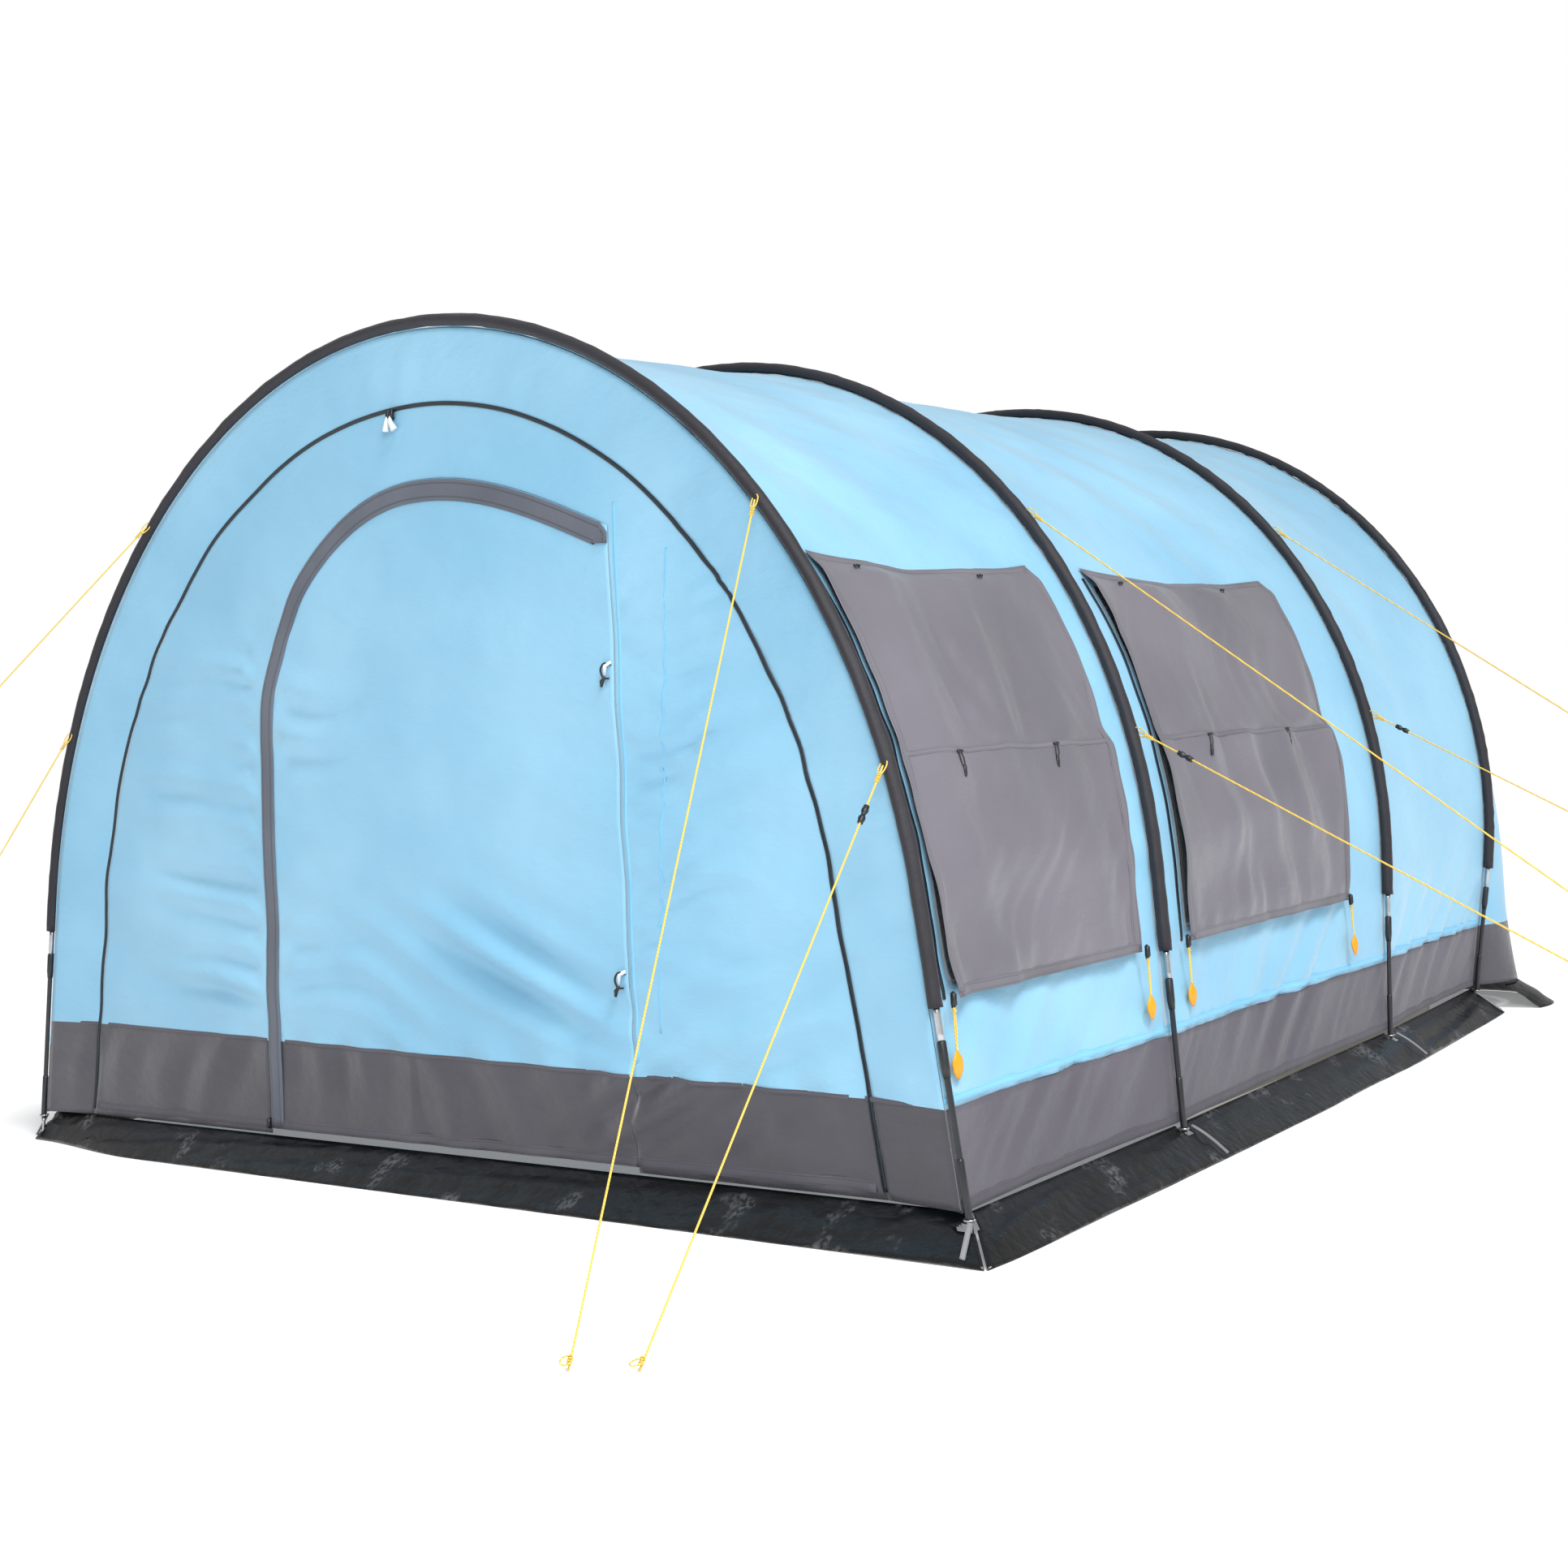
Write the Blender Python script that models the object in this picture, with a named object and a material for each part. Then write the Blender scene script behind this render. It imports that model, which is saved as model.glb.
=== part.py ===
# Family tunnel tent: four arch poles in sewn sleeves, a fly in three bays, a zipped front panel with a
# D-shaped door, covered windows in both side walls, mud flaps, guy lines and an inner sleeping cabin.
# Metres, +Z up, ground at z = 0. The front faces -Y and the tent's right-hand wall faces +X.
import bpy
import bmesh
from math import asin, cos, pi, sin, tan
from mathutils import Vector

# ---- arches: each is one round bow about a centre, with straight legs that leave it at leg_angle
hem_height = 0.08        # the walls end this far above the ground
arch_rise = 2.0          # crown of every arch above the hem
arches = [
    {"y": 0.0, "radius": 1.603, "leg_angle": 0.119, "lean": 0.0},
    {"y": 0.924, "radius": 1.546, "leg_angle": 0.078, "lean": 0.08},
    {"y": 2.327, "radius": 1.456, "leg_angle": -0.034, "lean": 0.09},
    {"y": 3.285, "radius": 1.385, "leg_angle": -0.18, "lean": 0.04},
]

# ---- stock sizes
gap = 0.0003             # left between pieces that touch
pole_radius = 0.0065
pole_end_radius = 0.008
pole_end_height = 0.10   # top of the steel end above the hem
sleeve_radius = 0.015
sleeve_bore = 0.0095
sleeve_start = 0.38      # lower end of a sleeve above the hem
sheet = 0.002            # every cloth is modelled this thick
cord_radius = 0.002
tube_sides = 8

# ---- walls
band_height = 0.19
window_low = 0.39        # lower edge of a window cover
window_high = 1.31       # hinge edge of a window cover
cover_overlap = 0.03     # cloth that a cover laps past its opening
cover_clear = 0.003      # room for the zip and hem under a cover
front_depth = 0.03       # the front panel stands this far behind the first arch
zip_radius = 1.36        # arch-shaped zip round the front panel
zip_rise = 1.80
zip_leg_angle = 0.155
rear_flare = 0.40        # the rear wall meets the ground this far behind the last arch

# ---- door, in the plane of the front panel
door_hinge_x = 0.75
door_edge_x = -0.59
door_foot = 0.012        # gap under the door
door_shoulder = 0.98     # height where the free edge starts to curve
door_crown = 1.61
door_hinge_top = 1.42
door_crown_x = 0.06

# ---- mud flap
flap_reach = 0.1075
flap_notch = 0.014       # half width of the slot that a pole end stands in
flap_drop = 0.005        # the flap starts this far under the walls' lower edge
mitre_gap = 0.004        # half the gap at a front corner
flap_ground = 0.0015     # height of its outer edge above the ground, at mid thickness

# ---- inner cabin
cabin_inset = 0.10
cabin_front = 1.35
cabin_rear = 3.12
cabin_floor = 0.004      # height of the cabin's floor above the ground

# ---- fittings
zip_slider = (0.014, 0.006, 0.022)
runner_length = 0.04
runner_radius = 0.0065
runner_bore = 0.0024

wall_inset = sleeve_radius + gap + sheet / 2
lining_inset = wall_inset + sheet + 5 * gap
cover_inset = wall_inset - sheet - cover_clear
front_edge = front_depth - flap_reach
rear_edge = arches[3]["y"] + rear_flare + flap_reach
middle_y = (front_edge + rear_edge) / 2

colours = {
    "pole": ("24272B", 0.35, 0.0),
    "steel": ("B9BCC0", 0.3, 1.0),
    "sleeve": ("34333B", 0.8, 0.0),
    "fly": ("9FD0EC", 0.6, 0.0),
    "band": ("504D56", 0.7, 0.0),
    "cover": ("86858D", 0.75, 0.0),
    "pane": ("DDE8EE", 0.08, 0.0),
    "flap": ("1D1F20", 0.35, 0.0),
    "cord": ("EBC348", 0.6, 0.0),
    "pull": ("F6A51B", 0.4, 0.0),
    "zip": ("10202B", 0.45, 0.0),
    "cabin": ("D9D4C8", 0.8, 0.0),
}


def material(name):
    colour, roughness, metallic = colours[name]
    made = bpy.data.materials.get(name)
    if made is None:
        made = bpy.data.materials.new(name)
        made.use_nodes = True
        shader = made.node_tree.nodes["Principled BSDF"]
        rgb = [int(colour[i:i + 2], 16) / 255 for i in (0, 2, 4)]
        shader.inputs["Base Color"].default_value = [c ** 2.2 for c in rgb] + [1.0]
        shader.inputs["Roughness"].default_value = roughness
        shader.inputs["Metallic"].default_value = metallic
    return made


def place(x, y, z):
    # from the tent's own lines (y from the first arch, z from the hem) to the part's frame
    return Vector((x, y - middle_y, z + hem_height))


def addObject(name, vertices, faces, look, smooth=True, origin=None):
    origin = origin or Vector((0.0, 0.0, 0.0))
    mesh = bpy.data.meshes.new(name)
    mesh.from_pydata([Vector(v) - origin for v in vertices], [], faces)
    shape = bmesh.new()
    shape.from_mesh(mesh)
    bmesh.ops.recalc_face_normals(shape, faces=shape.faces)
    shape.to_mesh(mesh)
    shape.free()
    for face in mesh.polygons:
        face.use_smooth = smooth
    mesh.materials.append(material(look))
    made = bpy.data.objects.new(name, mesh)
    made.location = origin
    bpy.context.scene.collection.objects.link(made)
    return made


# ---------------------------------------------------------------- arch outlines

def archPoint(arch, height, inset=0.0, rise=arch_rise):
    # point (x, z) on the right half at this height above the hem, moved inwards by inset
    radius = arch["radius"]
    centre = rise - radius
    leg = arch["leg_angle"]
    leg_top = centre + radius * sin(leg)
    if height < leg_top:
        x = radius * cos(leg) + (leg_top - height) * tan(leg)
        return (x - inset * cos(leg), height - inset * sin(leg))
    angle = asin(min(1.0, (height - centre) / radius))
    return ((radius - inset) * cos(angle), centre + (radius - inset) * sin(angle))


def roofPoint(arch, share, from_height, inset=0.0, rise=arch_rise):
    # point (x, z) on the right half, share 0 at from_height and 1 at the crown, by angle
    radius = arch["radius"]
    centre = rise - radius
    start = asin((from_height - centre) / radius)
    angle = start + share * (pi / 2 - start)
    return ((radius - inset) * cos(angle), centre + (radius - inset) * sin(angle))


wall_levels = [0.42, 0.56, 0.70, 0.85, 1.00, 1.14, 1.27]
roof_steps = 11


def halfOutline(arch, levels, inset=0.0, rise=arch_rise):
    points = [archPoint(arch, level, inset, rise) for level in levels]
    for step in range(1, roof_steps + 1):
        points.append(roofPoint(arch, step / roof_steps, levels[-1], inset, rise))
    return points


def wholeOutline(arch, levels, inset=0.0, rise=arch_rise):
    # right foot, over the crown, to the left foot
    half = halfOutline(arch, levels, inset, rise)
    return half + [(-x, z) for x, z in reversed(half[:-1])]


def onArch(arch, point, forward=0.0):
    x, z = point
    return place(x, arch["y"] + arch["lean"] * z + forward, z)


def between(first, second, share):
    return first + (second - first) * share


# ---------------------------------------------------------------- solids

def addTube(name, path, radius, look, bore=0.0, level_ends=False):
    # a tube swept along path, or a pipe if it has a bore; level_ends cuts both ends flat to the ground
    sides = tube_sides
    tangents = []
    for i in range(len(path)):
        ahead = path[min(i + 1, len(path) - 1)] - path[max(i - 1, 0)]
        tangents.append(ahead.normalized())
    side = tangents[0].cross(Vector((0, 1, 0)))
    if side.length < 0.2:
        side = tangents[0].cross(Vector((1, 0, 0)))
    side.normalize()
    vertices = []
    rings = []
    for at, tangent in zip(path, tangents):
        side = (side - tangent * side.dot(tangent)).normalized()
        up = tangent.cross(side)
        last = at is path[0] or at is path[-1]
        for size in ([radius, bore] if bore else [radius]):
            ring = []
            for k in range(sides):
                angle = 2 * pi * k / sides
                point = at + side * (size * cos(angle)) + up * (size * sin(angle))
                if level_ends and last:
                    point += tangent * ((at.z - point.z) / tangent.z)
                ring.append(len(vertices))
                vertices.append(point)
            rings.append(ring)
    faces = []
    layers = 2 if bore else 1
    for i in range(len(path) - 1):
        for layer in range(layers):
            low, high = rings[i * layers + layer], rings[(i + 1) * layers + layer]
            for k in range(sides):
                n = (k + 1) % sides
                faces.append((low[k], low[n], high[n], high[k]))
    for i in (0, len(path) - 1):
        if bore:
            outer, inner = rings[i * 2], rings[i * 2 + 1]
            for k in range(sides):
                n = (k + 1) % sides
                faces.append((outer[k], outer[n], inner[n], inner[k]))
        else:
            faces.append(tuple(rings[i]))
    return addObject(name, vertices, faces, look)


def addSheet(name, grid, look, skip=(), origin=None, loop=False):
    # cloth of the standard thickness laid on a grid of points; skip names the cells left open
    rows, columns = len(grid), len(grid[0])
    faces = []
    for i in range(rows - 1):
        for j in range(columns if loop else columns - 1):
            if (i, j) not in skip:
                n = (j + 1) % columns
                low, high = i * columns, (i + 1) * columns
                faces.append((low + j, low + n, high + n, high + j))
    used = sorted({v for face in faces for v in face})
    index = {v: i for i, v in enumerate(used)}
    points = [p for row in grid for p in row]
    kept = [points[v] for v in used]
    made = addObject(name, kept, [tuple(index[v] for v in f) for f in faces], look, origin=origin)
    thicken(made)
    return made


def thicken(made):
    skin = made.modifiers.new("thickness", "SOLIDIFY")
    skin.thickness = sheet
    skin.offset = 0.0


def addPlate(name, outline, depth, look, origin=None):
    # a flat plate with this outline, pushed out along depth
    count = len(outline)
    vertices = list(outline) + [p + depth for p in outline]
    faces = [tuple(range(count)), tuple(range(2 * count - 1, count - 1, -1))]
    for i in range(count):
        n = (i + 1) % count
        faces.append((i, n, count + n, count + i))
    return addObject(name, vertices, faces, look, smooth=False, origin=origin)


# ---------------------------------------------------------------- poles and sleeves

def addPoles():
    bare_middle = (pole_end_height + sleeve_start) / 2
    frame_levels = [pole_end_height + gap, bare_middle, sleeve_start] + wall_levels
    for number, arch in enumerate(arches, 1):
        path = [onArch(arch, p) for p in wholeOutline(arch, frame_levels)]
        addTube(f"arch_pole_{number}", path, pole_radius, "pole", level_ends=True)
        covered = [onArch(arch, p) for p in wholeOutline(arch, frame_levels[2:])]
        addTube(f"pole_sleeve_{number}", covered, sleeve_radius, "sleeve", bore=sleeve_bore)
        for side, name in ((1, "right"), (-1, "left")):
            ends = []
            for height in (-hem_height, pole_end_height):
                x, z = archPoint(arch, height)
                ends.append(onArch(arch, (side * x, z)))
            addTube(f"pole_end_{name}_{number}", ends, pole_end_radius, "steel", level_ends=True)


# ---------------------------------------------------------------- fly and windows

bays = [
    {"name": "front", "window": (0.06, 0.88)},
    {"name": "middle", "window": (0.09, 0.80)},
    {"name": "rear", "window": None},
]


def bayPoint(bay, height, share, inset, side=1, over=None):
    # over, if given, is how far up the roof from height towards the crown
    ends = []
    for arch in arches[bay:bay + 2]:
        if over is None:
            x, z = archPoint(arch, height, inset)
        else:
            x, z = roofPoint(arch, over, height, inset)
        ends.append(onArch(arch, (side * x, z)))
    return between(ends[0], ends[1], share)


def bayLength(bay):
    return arches[bay + 1]["y"] - arches[bay]["y"]


def openingShares(bay):
    low, high = bays[bay]["window"]
    return low + cover_overlap / bayLength(bay), high - cover_overlap / bayLength(bay)


def addBays():
    levels = [band_height + gap] + wall_levels
    for bay, facts in enumerate(bays):
        end = gap / bayLength(bay)
        if facts["window"]:
            low, high = openingShares(bay)
            shares = [end, low, between(low, high, 0.5), high, 1 - end]
        else:
            shares = [end, 1 / 3, 2 / 3, 1 - end]
        grid = []
        first = wholeOutline(arches[bay], levels, wall_inset)
        second = wholeOutline(arches[bay + 1], levels, wall_inset)
        for a, b in zip(first, second):
            start, stop = onArch(arches[bay], a), onArch(arches[bay + 1], b)
            grid.append([between(start, stop, s) for s in shares])
        skip = set()
        if facts["window"]:
            for i in range(1, len(levels) - 1):
                for j in (1, 2):
                    skip.add((i, j))
                    skip.add((len(grid) - 2 - i, j))
        addSheet(f"fly_bay_{facts['name']}", grid, "fly", skip)


def addBands():
    for side, name in ((1, "right"), (-1, "left")):
        grid = []
        for height in (0.0, band_height / 2, band_height):
            row = []
            for arch in arches:
                x, z = archPoint(arch, height, wall_inset)
                row.append(onArch(arch, (side * x, z)))
            grid.append(row)
        addSheet(f"lower_band_{name}", grid, "band")


def addWindow(bay, side, name):
    number = bay + 1
    low, high = openingShares(bay)
    lip = gap / bayLength(bay)
    pane = []
    for level in wall_levels:
        end_gap = gap if level == wall_levels[0] else -gap if level == wall_levels[-1] else 0.0
        pane.append([bayPoint(bay, level + end_gap, s, wall_inset, side)
                     for s in (low + lip, between(low, high, 0.5), high - lip)])
    addSheet(f"window_pane_{name}_{number}", pane, "pane")
    low, high = bays[bay]["window"]
    hinge = bayPoint(bay, window_high, low, cover_inset - sheet / 2, side)
    cover = []
    stations = (low, between(low, high, 0.5), high)
    for level in [window_low] + wall_levels[1:] + [window_high]:
        cover.append([bayPoint(bay, level, s, cover_inset, side) for s in stations])
    addSheet(f"window_cover_{name}_{number}", cover, "cover", origin=hinge)
    for share, edge, away in ((low, "front", -1), (high, "rear", 1)):
        addWindowSlider(bay, side, share, f"window_slider_{name}_{number}_{edge}", away)


# a window slider's outline: height above the hem, half width
window_slider_profile = [
    (0.405, 0.007), (0.38, 0.007),     # the slider itself
    (0.378, 0.002), (0.290, 0.002),    # its cord
    (0.286, 0.011), (0.240, 0.011),    # its grip
]
window_slider_depth = 0.004
window_slider_aside = 0.0135           # from the cover's edge to the middle of the slider


def addWindowSlider(bay, side, share, name, away):
    # slider on the zip beside the cover, with its cord and grip hanging along the wall
    outset = cover_inset - sheet
    centre_y = away * window_slider_aside
    left, right = [], []
    for height, width in window_slider_profile:
        at = bayPoint(bay, height, share, outset, side)
        left.append(at + Vector((0, centre_y - width, 0)))
        right.append(at + Vector((0, centre_y + width, 0)))
    outline = left + list(reversed(right))
    addPlate(name, outline, Vector((side * window_slider_depth, 0, 0)), "pull", origin=left[0])


# ---------------------------------------------------------------- front wall

zip_arch = {"y": front_depth, "radius": zip_radius, "leg_angle": zip_leg_angle, "lean": 0.0}
front_levels = [0.0, band_height, 0.34] + wall_levels[1:]
panel_rows = (0.0, 0.4, 0.75, 1.0)     # from the arch zip in to the door

# how far round the door's outline its hinge side, its top and its rounded corner end
door_hinge_share = 0.30
door_top_share = 0.42
door_corner_share = 0.70


def doorOutline(margin, count):
    # open outline from the foot of the hinge side, over the top, to the foot of the free edge
    points = []
    corners = [
        (door_hinge_x, 0.0), (door_hinge_x, door_hinge_top),
        (door_crown_x, door_crown), (door_edge_x, door_shoulder), (door_edge_x, 0.0),
    ]
    for step in range(count):
        points.append(doorPoint(corners, step / (count - 1), margin))
    return points


def doorPoint(corners, share, margin):
    # margin moves the outline out from the door
    foot, hinge_top, crown, shoulder, edge_foot = corners
    if share <= door_hinge_share:
        return (foot[0] + margin, foot[1] + hinge_top[1] * share / door_hinge_share)
    if share <= door_top_share:
        turn = (share - door_hinge_share) / (door_top_share - door_hinge_share)
        x = hinge_top[0] + (crown[0] - hinge_top[0]) * turn
        z = hinge_top[1] + (crown[1] - hinge_top[1]) * sin(turn * pi / 2)
        return (x + margin * (1 - turn), z + margin * turn)
    if share <= door_corner_share:
        turn = (share - door_top_share) / (door_corner_share - door_top_share) * pi / 2
        x = crown[0] - (crown[0] - shoulder[0]) * sin(turn)
        z = shoulder[1] + (crown[1] - shoulder[1]) * cos(turn)
        return (x - margin * sin(turn), z + margin * cos(turn))
    drop = (share - door_corner_share) / (1 - door_corner_share)
    return (edge_foot[0] - margin, shoulder[1] * (1 - drop))


def addFront():
    first = wholeOutline(arches[0], front_levels, lining_inset)
    outer = wholeOutline(zip_arch, front_levels, 0.0, zip_rise)
    inner = wholeOutline(zip_arch, front_levels, gap, zip_rise)
    hood = []
    for share in (0.0, 0.5, 1.0):
        row = []
        for a, b in zip(first, outer):
            start = place(a[0], sheet, max(a[1], 0.0))
            row.append(between(start, place(b[0], front_depth, max(b[1], 0.0)), share))
        hood.append(row)
    addSheet("front_hood", hood, "fly")
    door = doorOutline(gap, len(inner))
    zip_side = [place(x, front_depth, max(z, 0.0)) for x, z in inner]
    door_side = [place(x, front_depth, z) for x, z in door]
    panel = []
    for share in panel_rows:
        panel.append([between(a, b, share) for a, b in zip(zip_side, door_side)])
    addSheet("front_panel", panel, "fly", origin=place(0, front_depth, 0))
    face = front_depth - sheet / 2
    outline = [place(x, face, max(z, door_foot)) for x, z in doorOutline(0.0, len(inner))]
    addPlate("door", outline, Vector((0, sheet, 0)), "fly", origin=place(door_hinge_x, front_depth, 0))


def addSliders():
    width, depth, height = zip_slider
    front = front_depth - sheet / 2 - gap
    centre = zip_rise - zip_radius
    for side, name in ((1, "right"), (-1, "left")):
        middle = side * (width / 2 + gap)
        top = centre + zip_radius - sheet
        block = [(middle - width / 2, top - height), (middle + width / 2, top - height),
                 (middle + width / 2, top), (middle - width / 2, top)]
        outline = [place(x, front, z) for x, z in block]
        addPlate(f"arch_zip_slider_{name}", outline, Vector((0, -depth, 0)), "pull",
                 origin=place(0, front_depth, centre))
    x = door_edge_x - gap
    low = door_foot + sheet
    block = [(x - width, low), (x, low), (x, low + height), (x - width, low + height)]
    addPlate("door_zip_slider", [place(a, front, z) for a, z in block], Vector((0, -depth, 0)), "zip")


# ---------------------------------------------------------------- rear wall

rear_corner_power = 6    # how squarely the flared wall turns at its two corners
rear_rows = (1.0, 0.94, 0.86, 0.74, 0.55, 0.30, 0.06)


def rearDepth(share, height):
    return rear_flare * (1 - height / arch_rise) * (1 - share ** rear_corner_power)


def addRear():
    arch = arches[3]
    edge = wholeOutline(arch, front_levels, lining_inset)
    grid = []
    for share in rear_rows:
        row = []
        for x, z in edge:
            height = max(z, 0.0) * share
            depth = arch["y"] + arch["lean"] * height - sheet + rearDepth(share, height)
            row.append(place(x * share, depth, height))
        grid.append(row)
    made = addSheet("rear_panel", grid, "fly")
    closeHole(made, len(grid[0]))


def closeHole(made, count):
    # closes the small half-round hole that the innermost row of points leaves
    shape = bmesh.new()
    shape.from_mesh(made.data)
    shape.verts.ensure_lookup_table()
    shape.faces.new(shape.verts[-count:])
    bmesh.ops.recalc_face_normals(shape, faces=shape.faces)
    shape.to_mesh(made.data)
    shape.free()


# ---------------------------------------------------------------- mud flaps

def flapPoint(x, y, reach):
    # a point of the flap, reach being how far out of the wall it lies
    slope = (hem_height - flap_drop - flap_ground) / flap_reach
    return place(x, y, -flap_drop - slope * reach)


def wallFoot(index):
    # foot of the side wall at this arch
    return Vector((archPoint(arches[index], 0.0, wall_inset)[0], arches[index]["y"]))


flap_slots = (0.0, 0.036, flap_reach)        # rows of the side flaps, the first two open for the poles
front_flap_slots = (0.0, 0.046, flap_reach)


def addSideFlap(side, name):
    slots = flap_slots
    corner = wallFoot(0)
    skip = set()
    mitre_y = front_depth + mitre_gap
    rows = [[flapPoint(side * (corner.x + reach), mitre_y - reach, reach) for reach in slots]]
    for index in (1, 2):
        foot = wallFoot(index)
        for step in (-flap_notch, flap_notch):
            rows.append(sidePoints(side, foot.x, foot.y + step, slots))
        skip.add((len(rows) - 2, 0))
    foot = wallFoot(3)
    rows.append(sidePoints(side, foot.x, foot.y - flap_notch, slots))
    addSheet(f"mud_flap_{name}", rows, "flap", skip)


def sidePoints(side, x, y, slots):
    return [flapPoint(side * (x + reach), y, reach) for reach in slots]


def addFrontFlap():
    slots = front_flap_slots
    corner = wallFoot(0).x
    inner = corner - sheet
    rows = []
    for station in (-1, -0.5, 0, 0.5, 1):
        rows.append([flapPoint(station * inner, front_depth - reach, reach) for reach in slots])
    for at, sign in ((0, -1), (len(rows) + 1, 1)):
        row = []
        for reach in slots:
            x = corner + max(reach, slots[1] / 2) - mitre_gap
            row.append(flapPoint(sign * x, front_depth - reach, reach))
        rows.insert(at, row)
    skip = {(0, 0), (len(rows) - 2, 0)}
    addSheet("mud_flap_front", rows, "flap", skip)


rear_flap_steps = 28
rear_flap_start = 0.985      # share of the half width where the rear flap starts


def addRearFlap():
    slots = (0.0, flap_reach / 2, flap_reach)
    arch = arches[3]
    half = archPoint(arch, 0.0, lining_inset)[0]
    power = rear_corner_power
    rows = []
    for step in range(rear_flap_steps + 1):
        # closer steps at the corners
        share = rear_flap_start * cos(pi * step / rear_flap_steps)
        slope = -power * rear_flare * share ** (power - 1) / half
        normal = Vector((-slope, 1.0)).normalized()
        x = half * share
        y = arch["y"] + rear_flare * (1 - abs(share) ** power)
        rows.append([flapPoint(x + normal.x * reach, y + normal.y * reach, reach) for reach in slots])
    addSheet("mud_flap_rear", rows, "flap")


# ---------------------------------------------------------------- guy lines

# each line: the arch, the angle round its bow, the side, and the route's far end from the tent's own lines
guy_lines = [
    {"name": "front_right_upper", "arch": 0, "angle": 0.686, "side": 1, "end": (1.50, -0.87, None)},
    {"name": "front_right_lower", "arch": 0, "angle": 0.285, "side": 1, "end": (1.61, -0.82, None)},
    {"name": "front_left_upper", "arch": 0, "angle": 0.873, "side": -1, "end": (-1.261, -0.359, 1.171)},
    {"name": "front_left_lower", "arch": 0, "angle": 0.430, "side": -1, "end": (-1.585, -0.196, 0.691)},
    {"name": "middle_upper", "arch": 1, "angle": 0.687, "side": 1, "end": (2.498, 1.059, 0.478)},
    {"name": "middle_lower", "arch": 1, "angle": 0.279, "side": 1, "end": (2.501, 1.014, 0.346)},
    {"name": "rear_upper", "arch": 2, "angle": 0.682, "side": 1, "end": (2.026, 2.463, 0.838)},
    {"name": "rear_lower", "arch": 2, "angle": 0.241, "side": 1, "end": (2.020, 2.408, 0.576)},
]
runners = {"front_right_lower": 0.12, "middle_lower": 0.135, "rear_lower": 0.10}
cord_points = 24


def guyRoute(line):
    arch = arches[line["arch"]]
    centre = arch_rise - arch["radius"]
    clear = sleeve_radius + 2 * cord_radius
    # a front line leaves the sleeve's front, a side line its outer face
    forward, out = (-clear, 0.0) if line["arch"] == 0 else (0.0, clear)
    reach = arch["radius"] + out
    x = line["side"] * reach * cos(line["angle"])
    start = onArch(arch, (x, centre + reach * sin(line["angle"])), forward)
    far_x, far_y, far_z = line["end"]
    end = place(far_x, far_y, -hem_height if far_z is None else far_z)
    if far_z is None:
        end.z = 1.5 * cord_radius
    return [between(start, end, step / (cord_points - 1)) for step in range(cord_points)]


def addCord(name, route):
    curve = bpy.data.curves.new(name, "CURVE")
    curve.dimensions = "3D"
    curve.bevel_depth = cord_radius
    curve.bevel_resolution = 2
    curve.use_fill_caps = True
    spline = curve.splines.new("POLY")
    spline.points.add(len(route) - 1)
    for point, at in zip(spline.points, route):
        point.co = (at.x, at.y, at.z, 1.0)
    curve.materials.append(material("cord"))
    bpy.context.scene.collection.objects.link(bpy.data.objects.new(name, curve))


def addGuyLines():
    for line in guy_lines:
        route = guyRoute(line)
        addCord(f"guy_line_{line['name']}", route)
        if line["name"] in runners:
            along = (route[-1] - route[0]).normalized()
            middle = route[0] + along * runners[line["name"]]
            half = along * (runner_length / 2)
            ends = [middle - half, middle + half]
            addTube(f"guy_runner_{line['name']}", ends, runner_radius, "pull", bore=runner_bore)


# ---------------------------------------------------------------- inner cabin

cabin_levels = [0.12, 0.26, 0.42, 0.70, 1.00, 1.27]
cabin_middle = 0.72                    # height that the end walls' rows close on
doorway_rows = (0.52, 0.76, 1.0)       # the front wall, from the doorway out
cabin_rows = (0.33, 0.67, 1.0)
rear_wall_rows = (0.5, 0.1)
floor_steps = 6


def cabinRing(arch, y):
    ring = wholeOutline(arch, cabin_levels, cabin_inset)
    foot = archPoint(arch, 0.0, cabin_inset)[0]
    floor = cabin_floor - hem_height
    ring = [(foot, floor)] + ring + [(-foot, floor)]
    for step in range(1, floor_steps):
        ring.append((-foot + 2 * foot * step / floor_steps, floor))
    return [place(x, y, z) for x, z in ring]


def addCabin():
    front = cabinRing(arches[2], cabin_front)
    rear = cabinRing(arches[3], cabin_rear)
    rows = []
    doorway_middle = place(0, cabin_front, cabin_middle)
    for share in doorway_rows:
        rows.append([between(doorway_middle, p, share) for p in front])
    for share in cabin_rows:
        rows.append([between(a, b, share) for a, b in zip(front, rear)])
    rear_middle = place(0, cabin_rear, cabin_middle)
    for share in rear_wall_rows:
        rows.append([between(rear_middle, p, share) for p in rear])
    made = addSheet("inner_cabin", rows, "cabin", loop=True)
    closeHole(made, len(rear))


def main():
    for old in list(bpy.data.objects):
        bpy.data.objects.remove(old, do_unlink=True)
    addPoles()
    addBays()
    addBands()
    for bay in (0, 1):
        for side, name in ((1, "right"), (-1, "left")):
            addWindow(bay, side, name)
    addFront()
    addSliders()
    addRear()
    addFrontFlap()
    for side, name in ((1, "right"), (-1, "left")):
        addSideFlap(side, name)
    addRearFlap()
    addGuyLines()
    addCabin()


main()
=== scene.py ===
import bpy
from math import asin, cos, pi, sin, sqrt, tan
import numpy as np
from mathutils import Matrix, Vector


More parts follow.
